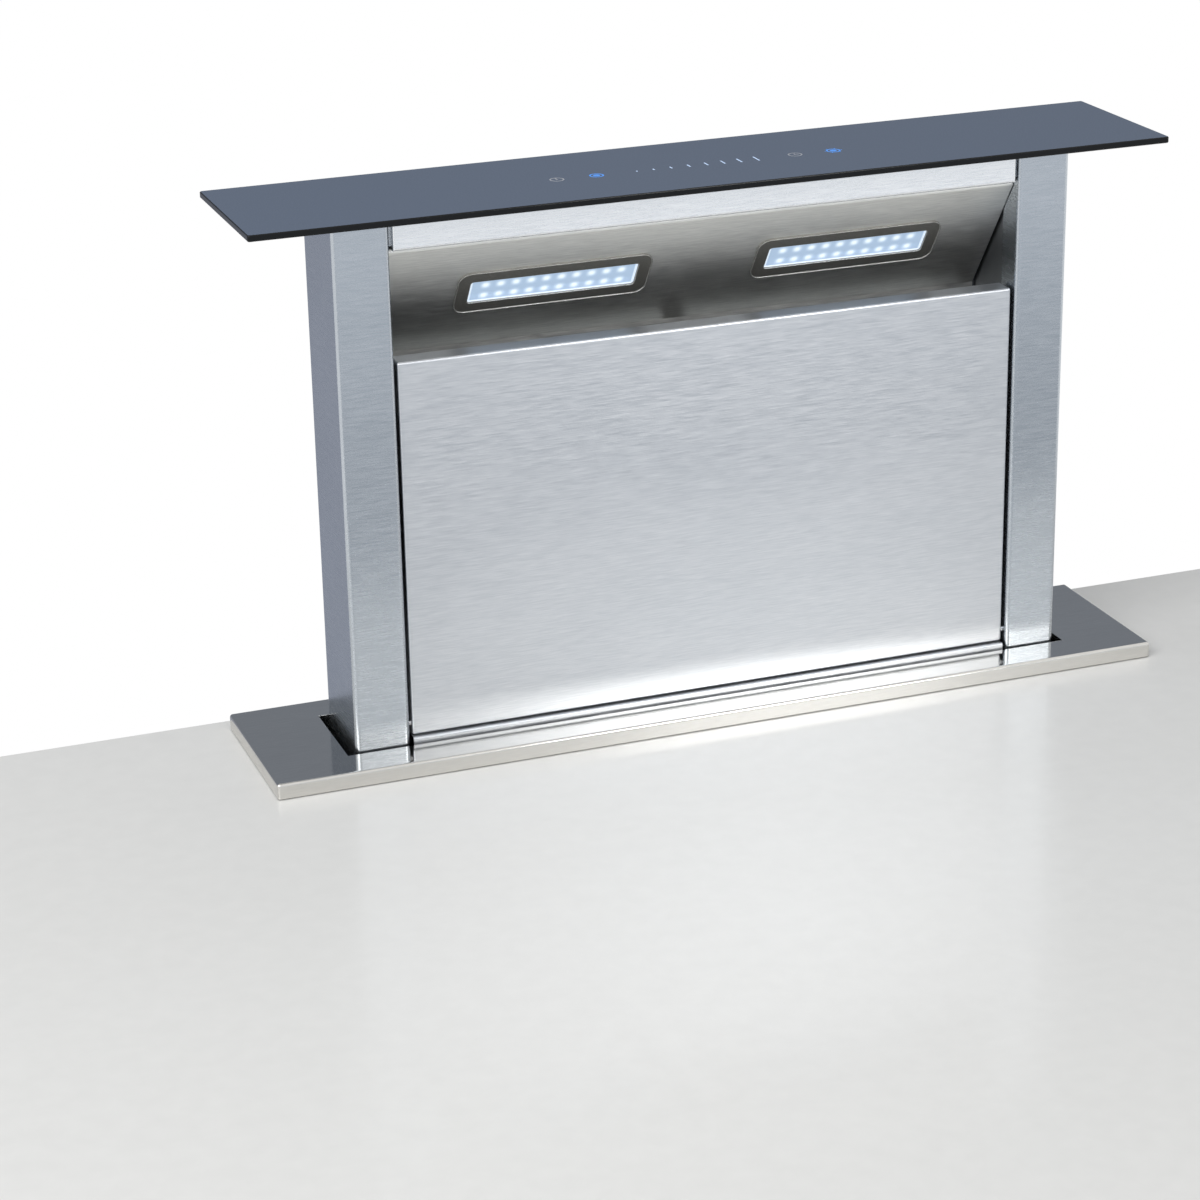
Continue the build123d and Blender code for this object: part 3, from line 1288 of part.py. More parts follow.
def pieces():
    """Each piece's shape, or its list of separate copies, under the name of its node."""
    left_lamp, right_lamp = lamp_places()
    left_filter, right_filter = filter_places()
    return {
        "worktop_frame": worktop_frame(),
        "frame_gasket": frame_gasket(),
        "frame_nuts": frame_nuts(),
        "left_column": other_side(column()),
        "right_column": column(),
        "left_cheek": other_side(cheek()),
        "right_cheek": cheek(),
        "tower_back": tower_back(),
        "tower_rivets": tower_rivets(),
        "glass_cap": glass_cap(),
        "top_rail": top_rail(),
        "touch_board": touch_board(),
        "lamp_panel": lamp_panel(),
        "left_lamp_bezel": lamp_bezel(left_lamp),
        "right_lamp_bezel": lamp_bezel(right_lamp),
        "lamp_lenses": [lamp_lens(place) for place in lamp_places()],
        "lamp_reflectors": [lamp_reflector(place) for place in lamp_places()],
        "lamp_boards": [lamp_board(place) for place in lamp_places()],
        "front_panel": front_panel(),
        "panel_liner": panel_liner(),
        "panel_pins": panel_pins(),
        "catch_magnets": catch_magnets(),
        "drip_sill": drip_sill(),
        "left_filter_frame": filter_frame(left_filter),
        "right_filter_frame": filter_frame(right_filter),
        "filter_meshes": [filter_mesh(place) for place in filter_places()],
        "filter_post": filter_post(),
        "housing_wrap": housing_wrap(),
        "housing_front": housing_front(),
        "housing_base": housing_base(),
        "housing_screws": housing_screws(),
        "left_clamp_bracket": other_side(clamp_bracket()),
        "right_clamp_bracket": clamp_bracket(),
        "left_guide_rail": other_side(guide_rail()),
        "right_guide_rail": guide_rail(),
        "left_slider": other_side(slider()),
        "right_slider": slider(),
        "left_rack": other_side(rack()),
        "right_rack": rack(),
        "lift_beam": lift_beam(),
        "bearing_hangers": bearing_hangers(),
        "lift_shaft": lift_shaft(),
        "lift_pinions": lift_pinions(),
        "shaft_gear": shaft_gear(),
        "motor_gear": motor_gear(),
        "lift_motor": lift_motor(),
        "blower_box": blower_box(),
        "blower_lid": blower_lid(),
        "scroll_shell": scroll_shell(),
        "inlet_ring": inlet_ring(),
        "fan_wheel": fan_wheel(),
        "fan_motor": fan_motor(),
        "outlet_spigot": outlet_spigot(),
        "flap_pin": flap_pin(),
        "back_flap": flap(1),
        "front_flap": flap(-1),
        "control_box": control_box(),
        "control_lid": control_lid(),
        "control_board": control_board(),
        "mains_gland": mains_gland(),
    }


os.makedirs("parts", exist_ok=True)
for name, piece in pieces().items():
    solids = piece if isinstance(piece, list) else [piece]
    export_step(Compound(solids), f"parts/{name}.step")
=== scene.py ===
import json
from math import cos, pi, radians, sin

import bmesh
import bpy
from mathutils import Matrix, Vector


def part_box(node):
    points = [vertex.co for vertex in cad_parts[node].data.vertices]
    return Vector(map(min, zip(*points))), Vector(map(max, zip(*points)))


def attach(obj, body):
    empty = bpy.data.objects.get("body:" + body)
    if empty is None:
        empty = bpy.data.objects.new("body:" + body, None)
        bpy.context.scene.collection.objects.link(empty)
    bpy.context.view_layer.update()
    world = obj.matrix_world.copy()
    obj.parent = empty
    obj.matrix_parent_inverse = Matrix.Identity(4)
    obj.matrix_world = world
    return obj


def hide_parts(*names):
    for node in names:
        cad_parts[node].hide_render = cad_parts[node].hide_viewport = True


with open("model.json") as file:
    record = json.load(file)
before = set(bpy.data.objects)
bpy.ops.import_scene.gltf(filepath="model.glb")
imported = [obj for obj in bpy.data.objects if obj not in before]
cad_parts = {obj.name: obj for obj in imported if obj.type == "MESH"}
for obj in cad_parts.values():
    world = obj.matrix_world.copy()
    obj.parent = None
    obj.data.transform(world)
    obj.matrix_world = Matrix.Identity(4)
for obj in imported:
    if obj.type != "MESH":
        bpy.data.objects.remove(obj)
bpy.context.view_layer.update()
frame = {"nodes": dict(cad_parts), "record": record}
nodes = frame["nodes"]
MM = 0.001


# ---- Colour and node helpers --------------------------------------------------------------

def linear(code):
    """Linear colour of an sRGB hex value such as "#A0B0C0"."""
    parts = [int(code[i:i + 2], 16) / 255 for i in (1, 3, 5)]
    return [c / 12.92 if c <= 0.04045 else ((c + 0.055) / 1.055) ** 2.4 for c in parts] + [1.0]


def add(tree, kind, links=None, **options):
    """Adds a node. links gives its inputs by name or number, as values or as sockets to join."""
    node = tree.nodes.new("ShaderNode" + kind)
    for name, value in options.items():
        setattr(node, name, value)
    for name, value in (links or {}).items():
        if isinstance(value, bpy.types.NodeSocket):
            tree.links.new(value, node.inputs[name])
        else:
            node.inputs[name].default_value = value
    return node


def material(name, **constants):
    """New material, its node tree and its shader. constants are the shader's own sockets."""
    made = bpy.data.materials.new(name)
    made.use_nodes = True
    shader = made.node_tree.nodes["Principled BSDF"]
    for socket, value in constants.items():
        shader.inputs[socket.replace("_", " ")].default_value = value
    return made, made.node_tree, shader


def pattern(tree, sizes, kind="TexNoise", **links):
    """Texture on Object coordinates whose features are the given sizes in millimetres."""
    place = add(tree, "TexCoord").outputs["Object"]
    scale = [1 / (size * MM) for size in sizes]
    scaled = add(tree, "Mapping", {"Vector": place, "Scale": scale}).outputs[0]
    return add(tree, kind, {"Vector": scaled, "Scale": 1.0, **links})


# What a noise pattern covers: it seldom leaves these values.
NOISE = (0.3, 0.7)


def tones(tree, value, dark, light, span=NOISE):
    """Colour that goes from one hex value to another as a pattern goes over its span."""
    share = add(tree, "MapRange", {"Value": value, "From Min": span[0], "From Max": span[1]})
    ends = {0: share.outputs[0], 6: linear(dark), 7: linear(light)}
    return add(tree, "Mix", ends, data_type="RGBA").outputs[2]


def tint(tree, shader, value, dark, light, span=NOISE):
    """Base colour that follows a pattern."""
    tree.links.new(tones(tree, value, dark, light, span), shader.inputs["Base Color"])


def gloss(tree, shader, value, smooth, rough, span=NOISE):
    """Roughness that follows a pattern."""
    ends = {"From Min": span[0], "From Max": span[1], "To Min": smooth, "To Max": rough}
    followed = add(tree, "MapRange", {"Value": value, **ends}).outputs[0]
    tree.links.new(followed, shader.inputs["Roughness"])


def raised(tree, shader, height, depth, edge=0.0):
    """Bump of the given depth in millimetres. A sheet's cut edge also catches light as if it were
    eased by the given radius."""
    bump = add(tree, "Bump", {"Height": height, "Distance": depth * MM})
    if edge:
        tree.links.new(add(tree, "Bevel", {"Radius": edge * MM}).outputs[0], bump.inputs["Normal"])
    tree.links.new(bump.outputs[0], shader.inputs["Normal"])


# ---- Metal finishes -----------------------------------------------------------------------

def grain_lines(tree, length, width):
    """Brushing lines along X, and along Y on faces that look sideways."""
    turned_enough = 0.7
    along_x = pattern(tree, (length, width, width), Detail=3.0, Roughness=0.62).outputs[0]
    along_y = pattern(tree, (width, length, width), Detail=3.0, Roughness=0.62).outputs[0]
    facing = add(tree, "TexCoord").outputs["Normal"]
    side = add(tree, "SeparateXYZ", {0: facing}).outputs[0]
    side = add(tree, "Math", {0: side}, operation="ABSOLUTE").outputs[0]
    side = add(tree, "Math", {0: side, 1: turned_enough}, operation="GREATER_THAN").outputs[0]
    return add(tree, "Mix", {0: side, 2: along_x, 3: along_y}).outputs[0]


def brushed_stainless(name, dark, light, roughness, spread=0.0, depth=0.003):
    """Stainless sheet with a number 4 brushed finish: fine parallel lines that spread a highlight
    across them. The real lines are 0.1 mm wide; these are wide enough to show."""
    made, tree, shader = material(name, Metallic=1.0, Anisotropic=spread)
    if spread:
        across = add(tree, "Tangent", direction_type="RADIAL", axis="X").outputs[0]
        tree.links.new(across, shader.inputs["Tangent"])
    cloud_share = 0.25
    lines = grain_lines(tree, 14, 0.6)
    clouds = pattern(tree, (160, 60, 60), Detail=2.0).outputs[0]
    mixed = add(tree, "Mix", {0: cloud_share, 2: lines, 3: clouds}).outputs[0]
    tint(tree, shader, mixed, dark, light)
    gloss(tree, shader, lines, roughness * 0.82, roughness * 1.18)
    raised(tree, shader, lines, depth, edge=0.6)
    return made


def mill_stainless():
    """Duct sheet with the mill's 2B finish: smooth, grey and faintly clouded, with handling
    marks."""
    made, tree, shader = material("mill_finish_stainless", Metallic=1.0)
    clouds = pattern(tree, (60, 60, 110), Detail=2.0).outputs[0]
    marks = pattern(tree, (1.2, 1.2, 26), Detail=5.0, Roughness=0.7).outputs[0]
    tint(tree, shader, clouds, "#8E9095", "#9DA0A4")
    gloss(tree, shader, marks, 0.30, 0.38)
    raised(tree, shader, marks, 0.002, edge=0.5)
    return made


def galvanised_sheet():
    """Hot-dip zinc coating: flat crystals about 9 mm across, feathered at their edges, each with
    its own shade of grey."""
    crystal, feather = 9 * MM, 7 * MM
    made, tree, shader = material("galvanised_sheet", Metallic=1.0)
    bend = pattern(tree, (4, 4, 4), Detail=4.0, Roughness=0.7).outputs[1]
    place = add(tree, "TexCoord").outputs["Object"]
    bent = {0: bend, 1: (feather, feather, feather), 2: place}
    bent = add(tree, "VectorMath", bent, operation="MULTIPLY_ADD").outputs[0]
    cells = add(tree, "TexVoronoi", {"Vector": bent, "Scale": 1 / crystal}).outputs["Color"]
    own_shade, own_gloss, _ = add(tree, "SeparateColor", {0: cells}).outputs
    frost = pattern(tree, (1.2, 1.2, 1.2), Detail=4.0).outputs[0]
    rough = add(tree, "MapRange", {"Value": own_gloss, "To Min": 0.34, "To Max": 0.50}).outputs[0]
    rough = add(tree, "Math", {0: frost, 1: 0.10, 2: rough}, operation="MULTIPLY_ADD").outputs[0]
    tint(tree, shader, own_shade, "#AEB3B5", "#C3C7C8", span=(0, 1))
    tree.links.new(rough, shader.inputs["Roughness"])
    raised(tree, shader, frost, 0.01)
    return made


def bright_zinc():
    """Zinc-plated fasteners and brackets: bright, with a faint blue and straw passivation."""
    made, tree, shader = material("bright_zinc_plating", Metallic=1.0)
    film = pattern(tree, (7, 7, 7), Detail=2.0).outputs[0]
    specks = pattern(tree, (0.6, 0.6, 0.6), Detail=3.0).outputs[0]
    tint(tree, shader, film, "#B9C1CC", "#D3CFBE")
    gloss(tree, shader, specks, 0.20, 0.34)
    raised(tree, shader, specks, 0.01)
    return made


def turned_steel():
    """Ground bar: fine rings across the shafts, which run along X."""
    made, tree, shader = material("turned_steel", Metallic=1.0)
    rings = pattern(tree, (0.5, 30, 30), Detail=2.0).outputs[0]
    tint(tree, shader, rings, "#A3A4A6", "#C2C3C4")
    gloss(tree, shader, rings, 0.16, 0.30)
    raised(tree, shader, rings, 0.004)
    return made


def satin_aluminium(name, dark, light, roughness):
    """Extruded or expanded aluminium with a satin anodised skin."""
    made, tree, shader = material(name, Metallic=1.0)
    streaks = pattern(tree, (1.4, 1.4, 40), Detail=3.0).outputs[0]
    tint(tree, shader, streaks, dark, light)
    gloss(tree, shader, streaks, roughness * 0.85, roughness * 1.15)
    raised(tree, shader, streaks, 0.004)
    return made


def motor_paint():
    """Black powder coat on the motors' steel cans: low gloss with an orange-peel skin."""
    made, tree, shader = material("black_powder_coat", IOR=1.5)
    peel = pattern(tree, (1.6, 1.6, 1.6), Detail=1.0).outputs[0]
    tint(tree, shader, peel, "#232528", "#2E3034")
    gloss(tree, shader, peel, 0.36, 0.48)
    raised(tree, shader, peel, 0.05)
    return made


def silver_bezel():
    """Die-cast lamp surround: warm grey satin lacquer, with a painted highlight in near-white at
    its rims, where the eased normal leaves the face's own."""
    made, tree, shader = material("satin_grey_lacquer", Metallic=0.6, IOR=1.5)
    grains = pattern(tree, (0.9, 0.9, 0.9), Detail=4.0).outputs[0]
    eased = add(tree, "Bevel", {"Radius": 0.7 * MM}).outputs[0]
    flat = add(tree, "NewGeometry").outputs["True Normal"]
    alike = add(tree, "VectorMath", {0: eased, 1: flat}, operation="DOT_PRODUCT").outputs["Value"]
    # Painted highlight: the rims get a near-white base colour where the eased normal turns away
    # from the true one.
    rim = {"Value": alike, "From Min": 0.86, "From Max": 0.98, "To Min": 1.0, "To Max": 0.0}
    rim = add(tree, "MapRange", rim).outputs[0]
    colour_with_painted_light = {0: rim, 6: tones(tree, grains, "#73726E", "#82817C"), 7: linear("#E4E4E0")}
    colour_with_painted_light = add(tree, "Mix", colour_with_painted_light, data_type="RGBA").outputs[2]
    tree.links.new(colour_with_painted_light, shader.inputs["Base Color"])
    gloss(tree, shader, grains, 0.30, 0.40)
    raised(tree, shader, grains, 0.01, edge=0.5)
    return made


# ---- Plastics, glass and the rest ---------------------------------------------------------

LAMP_LEAN = radians(-35)


def moulded(name, dark, light, roughness, ior=1.49):
    """Injection-moulded part: a fine spark-eroded skin over slow clouds of colour."""
    made, tree, shader = material(name, IOR=ior)
    skin = pattern(tree, (0.8, 0.8, 0.8), Detail=3.0).outputs[0]
    flow = pattern(tree, (35, 35, 35), Detail=1.0).outputs[0]
    tint(tree, shader, flow, dark, light)
    gloss(tree, shader, skin, roughness * 0.85, roughness * 1.15)
    raised(tree, shader, skin, 0.03)
    return made


def printed_glass():
    """Toughened float glass, printed dark blue on the back: deep colour under a polished surface,
    and a near-black base colour on its edges, painted shade for the light that goes into them."""
    facing_up = 0.9
    made, tree, shader = material("back_printed_glass", IOR=1.33)
    ink = pattern(tree, (1.1, 1.1, 1.1), Detail=2.0).outputs[0]
    facing = add(tree, "TexCoord").outputs["Normal"]
    up = add(tree, "SeparateXYZ", {0: facing}).outputs[2]
    # Painted shade: every face that doesn't look up gets a near-black base colour.
    top = add(tree, "Math", {0: up, 1: facing_up}, operation="GREATER_THAN").outputs[0]
    colour_with_painted_light = {0: top, 6: linear("#05070A"), 7: tones(tree, ink, "#546073", "#5A667A")}
    colour_with_painted_light = add(tree, "Mix", colour_with_painted_light, data_type="RGBA").outputs[2]
    tree.links.new(colour_with_painted_light, shader.inputs["Base Color"])
    gloss(tree, shader, ink, 0.10, 0.16)
    raised(tree, shader, ink, 0.0005, edge=0.7)
    return made


def symbol_ink(name, code, glow):
    """Screen-printed ceramic ink: matt and even, and lit from behind where it has a glow."""
    lit = {"Emission_Color": linear(code), "Emission_Strength": glow}
    made, tree, shader = material(name, IOR=1.45, Base_Color=linear(code), **lit)
    dots = pattern(tree, (0.4, 0.4, 0.4), Detail=1.0).outputs[0]
    gloss(tree, shader, dots, 0.35, 0.5)
    return made


def lit_lens():
    """Frosted polycarbonate lens: two rows of ten lights glow through it, and light up its lower
    wall and its ends."""
    half_length, light_pitch, row_pitch = 54.4 * MM, 9.8 * MM, 9.4 * MM
    sharpness = 1.3
    made, tree, shader = material("frosted_lamp_lens", IOR=1.58, Roughness=0.25)
    shader.inputs["Base Color"].default_value = linear("#8FA0B8")

    # Distances along and across a lens, in the slanted sheet's own directions.
    low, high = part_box("lamp_lenses")
    lamp_x = (high.x - low.x) / 2 - half_length
    place = add(tree, "TexCoord").outputs["Object"]
    place = {0: place, 1: (low + high) / 2}
    place = add(tree, "VectorMath", place, operation="SUBTRACT").outputs[0]
    place = {"Vector": place, "Angle": LAMP_LEAN}
    place = add(tree, "VectorRotate", place, rotation_type="X_AXIS").outputs[0]
    along, _, up = add(tree, "SeparateXYZ", {0: place}).outputs
    along = add(tree, "Math", {0: along}, operation="ABSOLUTE").outputs[0]
    from_middle = add(tree, "Math", {0: along, 1: -lamp_x}, operation="ADD").outputs[0]
    from_middle = add(tree, "Math", {0: from_middle}, operation="ABSOLUTE").outputs[0]

    # A light stands half a pitch to each side of the lens's middle, and so on outwards.
    waves = []
    for value, middle, pitch in ((along, lamp_x, light_pitch), (up, 0.0, row_pitch)):
        turn = 2 * pi / pitch
        phase = {0: value, 1: turn, 2: -(middle + pitch / 2) * turn}
        phase = add(tree, "Math", phase, operation="MULTIPLY_ADD").outputs[0]
        wave = add(tree, "Math", {0: phase}, operation="COSINE").outputs[0]
        waves.append(add(tree, "MapRange", {"Value": wave, "From Min": -1.0}).outputs[0])
    spots = add(tree, "Math", {0: waves[0], 1: waves[1]}, operation="MULTIPLY").outputs[0]
    spots = add(tree, "Math", {0: spots, 1: sharpness}, operation="POWER").outputs[0]

    # Each stretch is the value that it is measured on, its two ends and the glow at them.
    stretches = {
        "last_light": (from_middle, 47 * MM, 50 * MM, 1.0, 0.0),
        "low_wall": (up, -8.8 * MM, -7.9 * MM, 1.0, 0.0),
        "end_wall": (from_middle, 52.4 * MM, 53.0 * MM, 0.0, 0.7),
    }
    glows = {}
    for name, (value, start, end, first, last) in stretches.items():
        ends = {"From Min": start, "From Max": end, "To Min": first, "To Max": last}
        glows[name] = add(tree, "MapRange", {"Value": value, **ends}).outputs[0]
    spots = {0: spots, 1: glows["last_light"]}
    spots = add(tree, "Math", spots, operation="MULTIPLY").outputs[0]
    for wall in ("low_wall", "end_wall"):
        spots = add(tree, "Math", {0: spots, 1: glows[wall]}, operation="MAXIMUM").outputs[0]

    colour = tones(tree, spots, "#A9C0D6", "#EDF6FC", span=(0, 1))
    strength = add(tree, "MapRange", {"Value": spots, "To Min": 0.72}).outputs[0]
    tree.links.new(colour, shader.inputs["Emission Color"])
    tree.links.new(strength, shader.inputs["Emission Strength"])
    return made


def circuit_board():
    """Glass-fibre board with green solder resist over its copper tracks."""
    made, tree, shader = material("green_solder_resist", IOR=1.5)
    cells = pattern(tree, (2.4, 2.4, 2.4), "TexVoronoi").outputs["Color"]
    track = add(tree, "SeparateColor", {0: cells}).outputs[0]
    tint(tree, shader, track, "#0C3B22", "#1A5A36", span=(0, 1))
    gloss(tree, shader, track, 0.25, 0.4, span=(0, 1))
    raised(tree, shader, track, 0.03)
    return made


def foam_strip():
    """Closed-cell foam: matt, with pores about 0.8 mm across."""
    made, tree, shader = material("closed_cell_foam", IOR=1.45)
    pores = pattern(tree, (0.8, 0.8, 0.8), "TexVoronoi").outputs["Distance"]
    tint(tree, shader, pores, "#141414", "#26262A", span=(0, 0.8))
    gloss(tree, shader, pores, 0.8, 0.95, span=(0, 0.8))
    raised(tree, shader, pores, 0.3)
    return made


finishes = {
    "stainless": brushed_stainless("brushed_stainless", "#BDC1C6", "#D3D5D8", 0.34, spread=0.7),
    "duct_steel": mill_stainless(),
    "galvanised": galvanised_sheet(),
    "zinc": bright_zinc(),
    "turned_steel": turned_steel(),
    "motor_steel": motor_paint(),
    "cap_glass": printed_glass(),
    "lamp_lens": lit_lens(),
    "bezel_metal": silver_bezel(),
    "white_plastic": moulded("white_abs", "#E6E9EC", "#F0F2F3", 0.32),
    "black_plastic": moulded("black_abs", "#17181A", "#1F2023", 0.5),
    "sliding_plastic": moulded("natural_acetal", "#E0DDD0", "#E9E6DB", 0.36, ior=1.48),
    "rack_plastic": moulded("cream_acetal", "#D6D0BF", "#E0DBCB", 0.38, ior=1.48),
    # The filters' aluminium is given greys darker than bare aluminium: painted shade for the
    # cavity behind the front panel.
    "filter_aluminium": satin_aluminium("anodised_aluminium", "#85888B", "#94979A", 0.44),
    "filter_mesh": satin_aluminium("expanded_aluminium", "#7A7D80", "#8E9193", 0.44),
    "foam": foam_strip(),
    "circuit_board": circuit_board(),
}

# Copies of the same steel for other sheets: brushed a little differently, and with base tones
# painted lighter or darker than the front panel's, as painted light and shade.
steel_with_painted_tone = {
    "left_column": brushed_stainless("column_stainless", "#B2B9C0", "#C6CBD1", 0.26),
    "worktop_frame": brushed_stainless("frame_stainless", "#CDCBC7", "#D8D6D1", 0.10, depth=0.001),
    "lamp_panel": brushed_stainless("slanted_stainless", "#CFCFCC", "#F0F0EC", 0.43),
    "top_rail": brushed_stainless("rail_stainless", "#EAECEE", "#F8F9FA", 0.28, spread=0.5),
}
steel_with_painted_tone["right_column"] = steel_with_painted_tone["left_column"]

for part in frame["record"]["subparts"]:
    name = part["node"]
    chosen = steel_with_painted_tone.get(name, finishes[part["material_slot"]])
    slots = nodes[name].data.materials
    slots.clear()
    slots.append(chosen)


# ---- Pieces drawn with mesh operators -----------------------------------------------------

def mesh_object(name, shape, finish):
    """Object at the origin from a finished bmesh, which it uses up."""
    mesh = bpy.data.meshes.new(name)
    shape.to_mesh(mesh)
    shape.free()
    mesh.materials.append(finish)
    made = bpy.data.objects.new(name, mesh)
    bpy.context.scene.collection.objects.link(made)
    return made


def piece(name, shape, body, finish):
    """Piece of the object from a finished bmesh, riding on a body."""
    bmesh.ops.recalc_face_normals(shape, faces=shape.faces)
    made = mesh_object(name, shape, finish)
    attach(made, body)
    return made


def pour(part, shape):
    """Adds one bmesh to another, and uses it up."""
    mesh = bpy.data.meshes.new("part")
    part.to_mesh(mesh)
    part.free()
    shape.from_mesh(mesh)
    bpy.data.meshes.remove(mesh)


def ring(shape, centre, outer, inner):
    """Flat ring on the glass."""
    edges = []
    for radius in (outer, inner):
        loop = bmesh.ops.create_circle(shape, segments=36, radius=radius * MM)
        bmesh.ops.translate(shape, verts=loop["verts"], vec=centre)
        edges += list({edge for vert in loop["verts"] for edge in vert.link_edges})
    bmesh.ops.bridge_loops(shape, edges=edges)


def stroke(shape, centre, width, length, turn=0.0):
    """Flat bar on the glass, its length along Y before it is turned."""
    size = Matrix.Diagonal((width * MM, length * MM, 1, 1))
    place = Matrix.Translation(centre) @ Matrix.Rotation(turn, 4, "Z") @ size
    bmesh.ops.create_grid(shape, x_segments=1, y_segments=1, size=0.5, matrix=place)


def thicken(shape, vec):
    """Closed body from flat faces, swept along a vector."""
    swept = bmesh.ops.extrude_face_region(shape, geom=shape.faces[:])["geom"]
    moved = [v for v in swept if isinstance(v, bmesh.types.BMVert)]
    bmesh.ops.translate(shape, verts=moved, vec=vec)


def touch_symbols():
    """Plain symbols in ink 0.03 mm thick: two grey keys, two lit blue keys and eight level bars.
    They stand 0.01 mm clear of the glass, on one line along it."""
    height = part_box("glass_cap")[1].z + 0.01 * MM
    ink = Vector((0, 0, 0.03 * MM))
    line_y = -4.4 * MM
    key_radius = 4.6
    power_key, round_key, clock_key, sun_key = -91.8, -66.2, 65.0, 90.9
    bar_places = (-40, -29, -17.7, -6, 5.5, 16.6, 27.5, 38.9)

    def at(x, y=0.0):
        return Vector((x * MM, line_y + y * MM, height))

    grey = bmesh.new()
    ring(grey, at(power_key), key_radius, 3.6)
    stroke(grey, at(power_key, 1.4), 1.0, 4.2)
    ring(grey, at(clock_key), key_radius, 3.7)
    stroke(grey, at(clock_key, 1.45), 0.9, 2.0)
    stroke(grey, at(clock_key + 0.92), 0.9, 2.74, pi / 2)
    thicken(grey, ink)
    grey_ink = symbol_ink("grey_symbol_ink", "#A3A6AE", 0.0)
    piece("grey_touch_keys", grey, "tower", grey_ink)

    blue = bmesh.new()
    for x in (round_key, sun_key):
        ring(blue, at(x), key_radius, 3.5)
        ring(blue, at(x), 2.2, 0.2)
    rays, ray_radius = 6, 5.4
    for i in range(rays):
        turn = 2 * pi / rays * i
        ray = at(sun_key + ray_radius * cos(turn), ray_radius * sin(turn))
        stroke(blue, ray, 0.7, 0.9, turn - pi / 2)
    thicken(blue, ink)
    blue_light = symbol_ink("blue_symbol_light", "#4580CC", 0.6)
    piece("blue_touch_keys", blue, "tower", blue_light)

    bars = bmesh.new()
    for i, x in enumerate(bar_places):
        stroke(bars, at(x), 1.0, 1.6 + 1.25 * i)
    thicken(bars, ink)
    bar_light = symbol_ink("level_bar_light", "#B4C8E6", 0.4)
    piece("level_bars", bars, "tower", bar_light)


def screw(shape, outside, out, radius=4.8, height=3.2, arm=2.3):
    """Pan-head screw with a cross recess. It stands on the point outside and looks along out."""
    head = bmesh.new()
    profile = [(0.72 * radius, height), (0.95 * radius, 0.62 * height), (radius, 0.0)]
    rim = [head.verts.new((x * MM, 0, z * MM)) for x, z in profile]
    line = [head.edges.new(pair) for pair in zip(rim, rim[1:])]
    turned = {"cent": (0, 0, 0), "axis": (0, 0, 1), "angle": 2 * pi, "steps": 24}
    bmesh.ops.spin(head, geom=rim + line, use_merge=True, **turned)
    bmesh.ops.remove_doubles(head, verts=head.verts, dist=0.001 * MM)

    # The upper rim is joined to the outline of a cross, which is then sunk into the head.
    on_top = (height - 0.01) * MM
    top = [e for e in head.edges if e.is_boundary and min(v.co.z for v in e.verts) > on_top]
    half, reach, depth = 0.5 * MM, arm * MM, 0.55 * height * MM
    corner = [(half, half), (half, reach), (-half, reach)]
    outline = []
    for _ in range(4):
        outline += corner
        corner = [(-y, x) for x, y in corner]
    cross = [head.verts.new((x, y, height * MM)) for x, y in outline]
    sides = [head.edges.new(pair) for pair in zip(cross, cross[1:] + cross[:1])]
    bmesh.ops.bridge_loops(head, edges=top + sides)
    sunk = bmesh.ops.extrude_edge_only(head, edges=sides)["geom"]
    low = [v for v in sunk if isinstance(v, bmesh.types.BMVert)]
    bmesh.ops.translate(head, verts=low, vec=(0, 0, -depth))
    floor = [e for e in sunk if isinstance(e, bmesh.types.BMEdge)]
    bmesh.ops.contextual_create(head, geom=floor)

    turn = Vector((0, 0, 1)).rotation_difference(out).to_matrix().to_4x4()
    bmesh.ops.transform(head, matrix=Matrix.Translation(outside) @ turn, verts=head.verts)
    pour(head, shape)


def cross_head_screws():
    """The twelve pan-head screws of the housing's cover and of the clamp brackets."""
    cover_middle, pitch, cover_inset = -320 * MM, 180 * MM, 10.2 * MM
    bracket_wall, bracket_y, bracket_z = 2 * MM, 22 * MM, -65 * MM
    front_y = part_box("housing_front")[0].y
    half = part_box("housing_wrap")[1].x
    screws = bmesh.new()
    for side in (-1, 1):
        for i in range(4):
            z = cover_middle + (i - 1.5) * pitch
            screw(screws, Vector((side * (half - cover_inset), front_y, z)), Vector((0, -1, 0)))
        for y in (-bracket_y, bracket_y):
            outside = Vector((side * (half + bracket_wall), y, bracket_z))
            screw(screws, outside, Vector((side, 0, 0)))
    made = piece("cross_head_screws", screws, "housing", finishes["zinc"])
    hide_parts("housing_screws")


def lid_screws():
    """Smaller pan-head screws round the edges of the blower's lid and the electronics lid."""
    small = {"radius": 3.6, "height": 2.2, "arm": 1.8}
    screws = bmesh.new()
    for lid, inset, rows in (("blower_lid", 14 * MM, 3), ("control_lid", 9 * MM, 2)):
        low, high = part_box(lid)
        step = (high.z - low.z - 2 * inset) / (rows - 1)
        for x in (low.x + inset, high.x - inset):
            for i in range(rows):
                outside = Vector((x, low.y, low.z + inset + step * i))
                screw(screws, outside, Vector((0, -1, 0)), **small)
    piece("lid_screws", screws, "housing", finishes["zinc"])


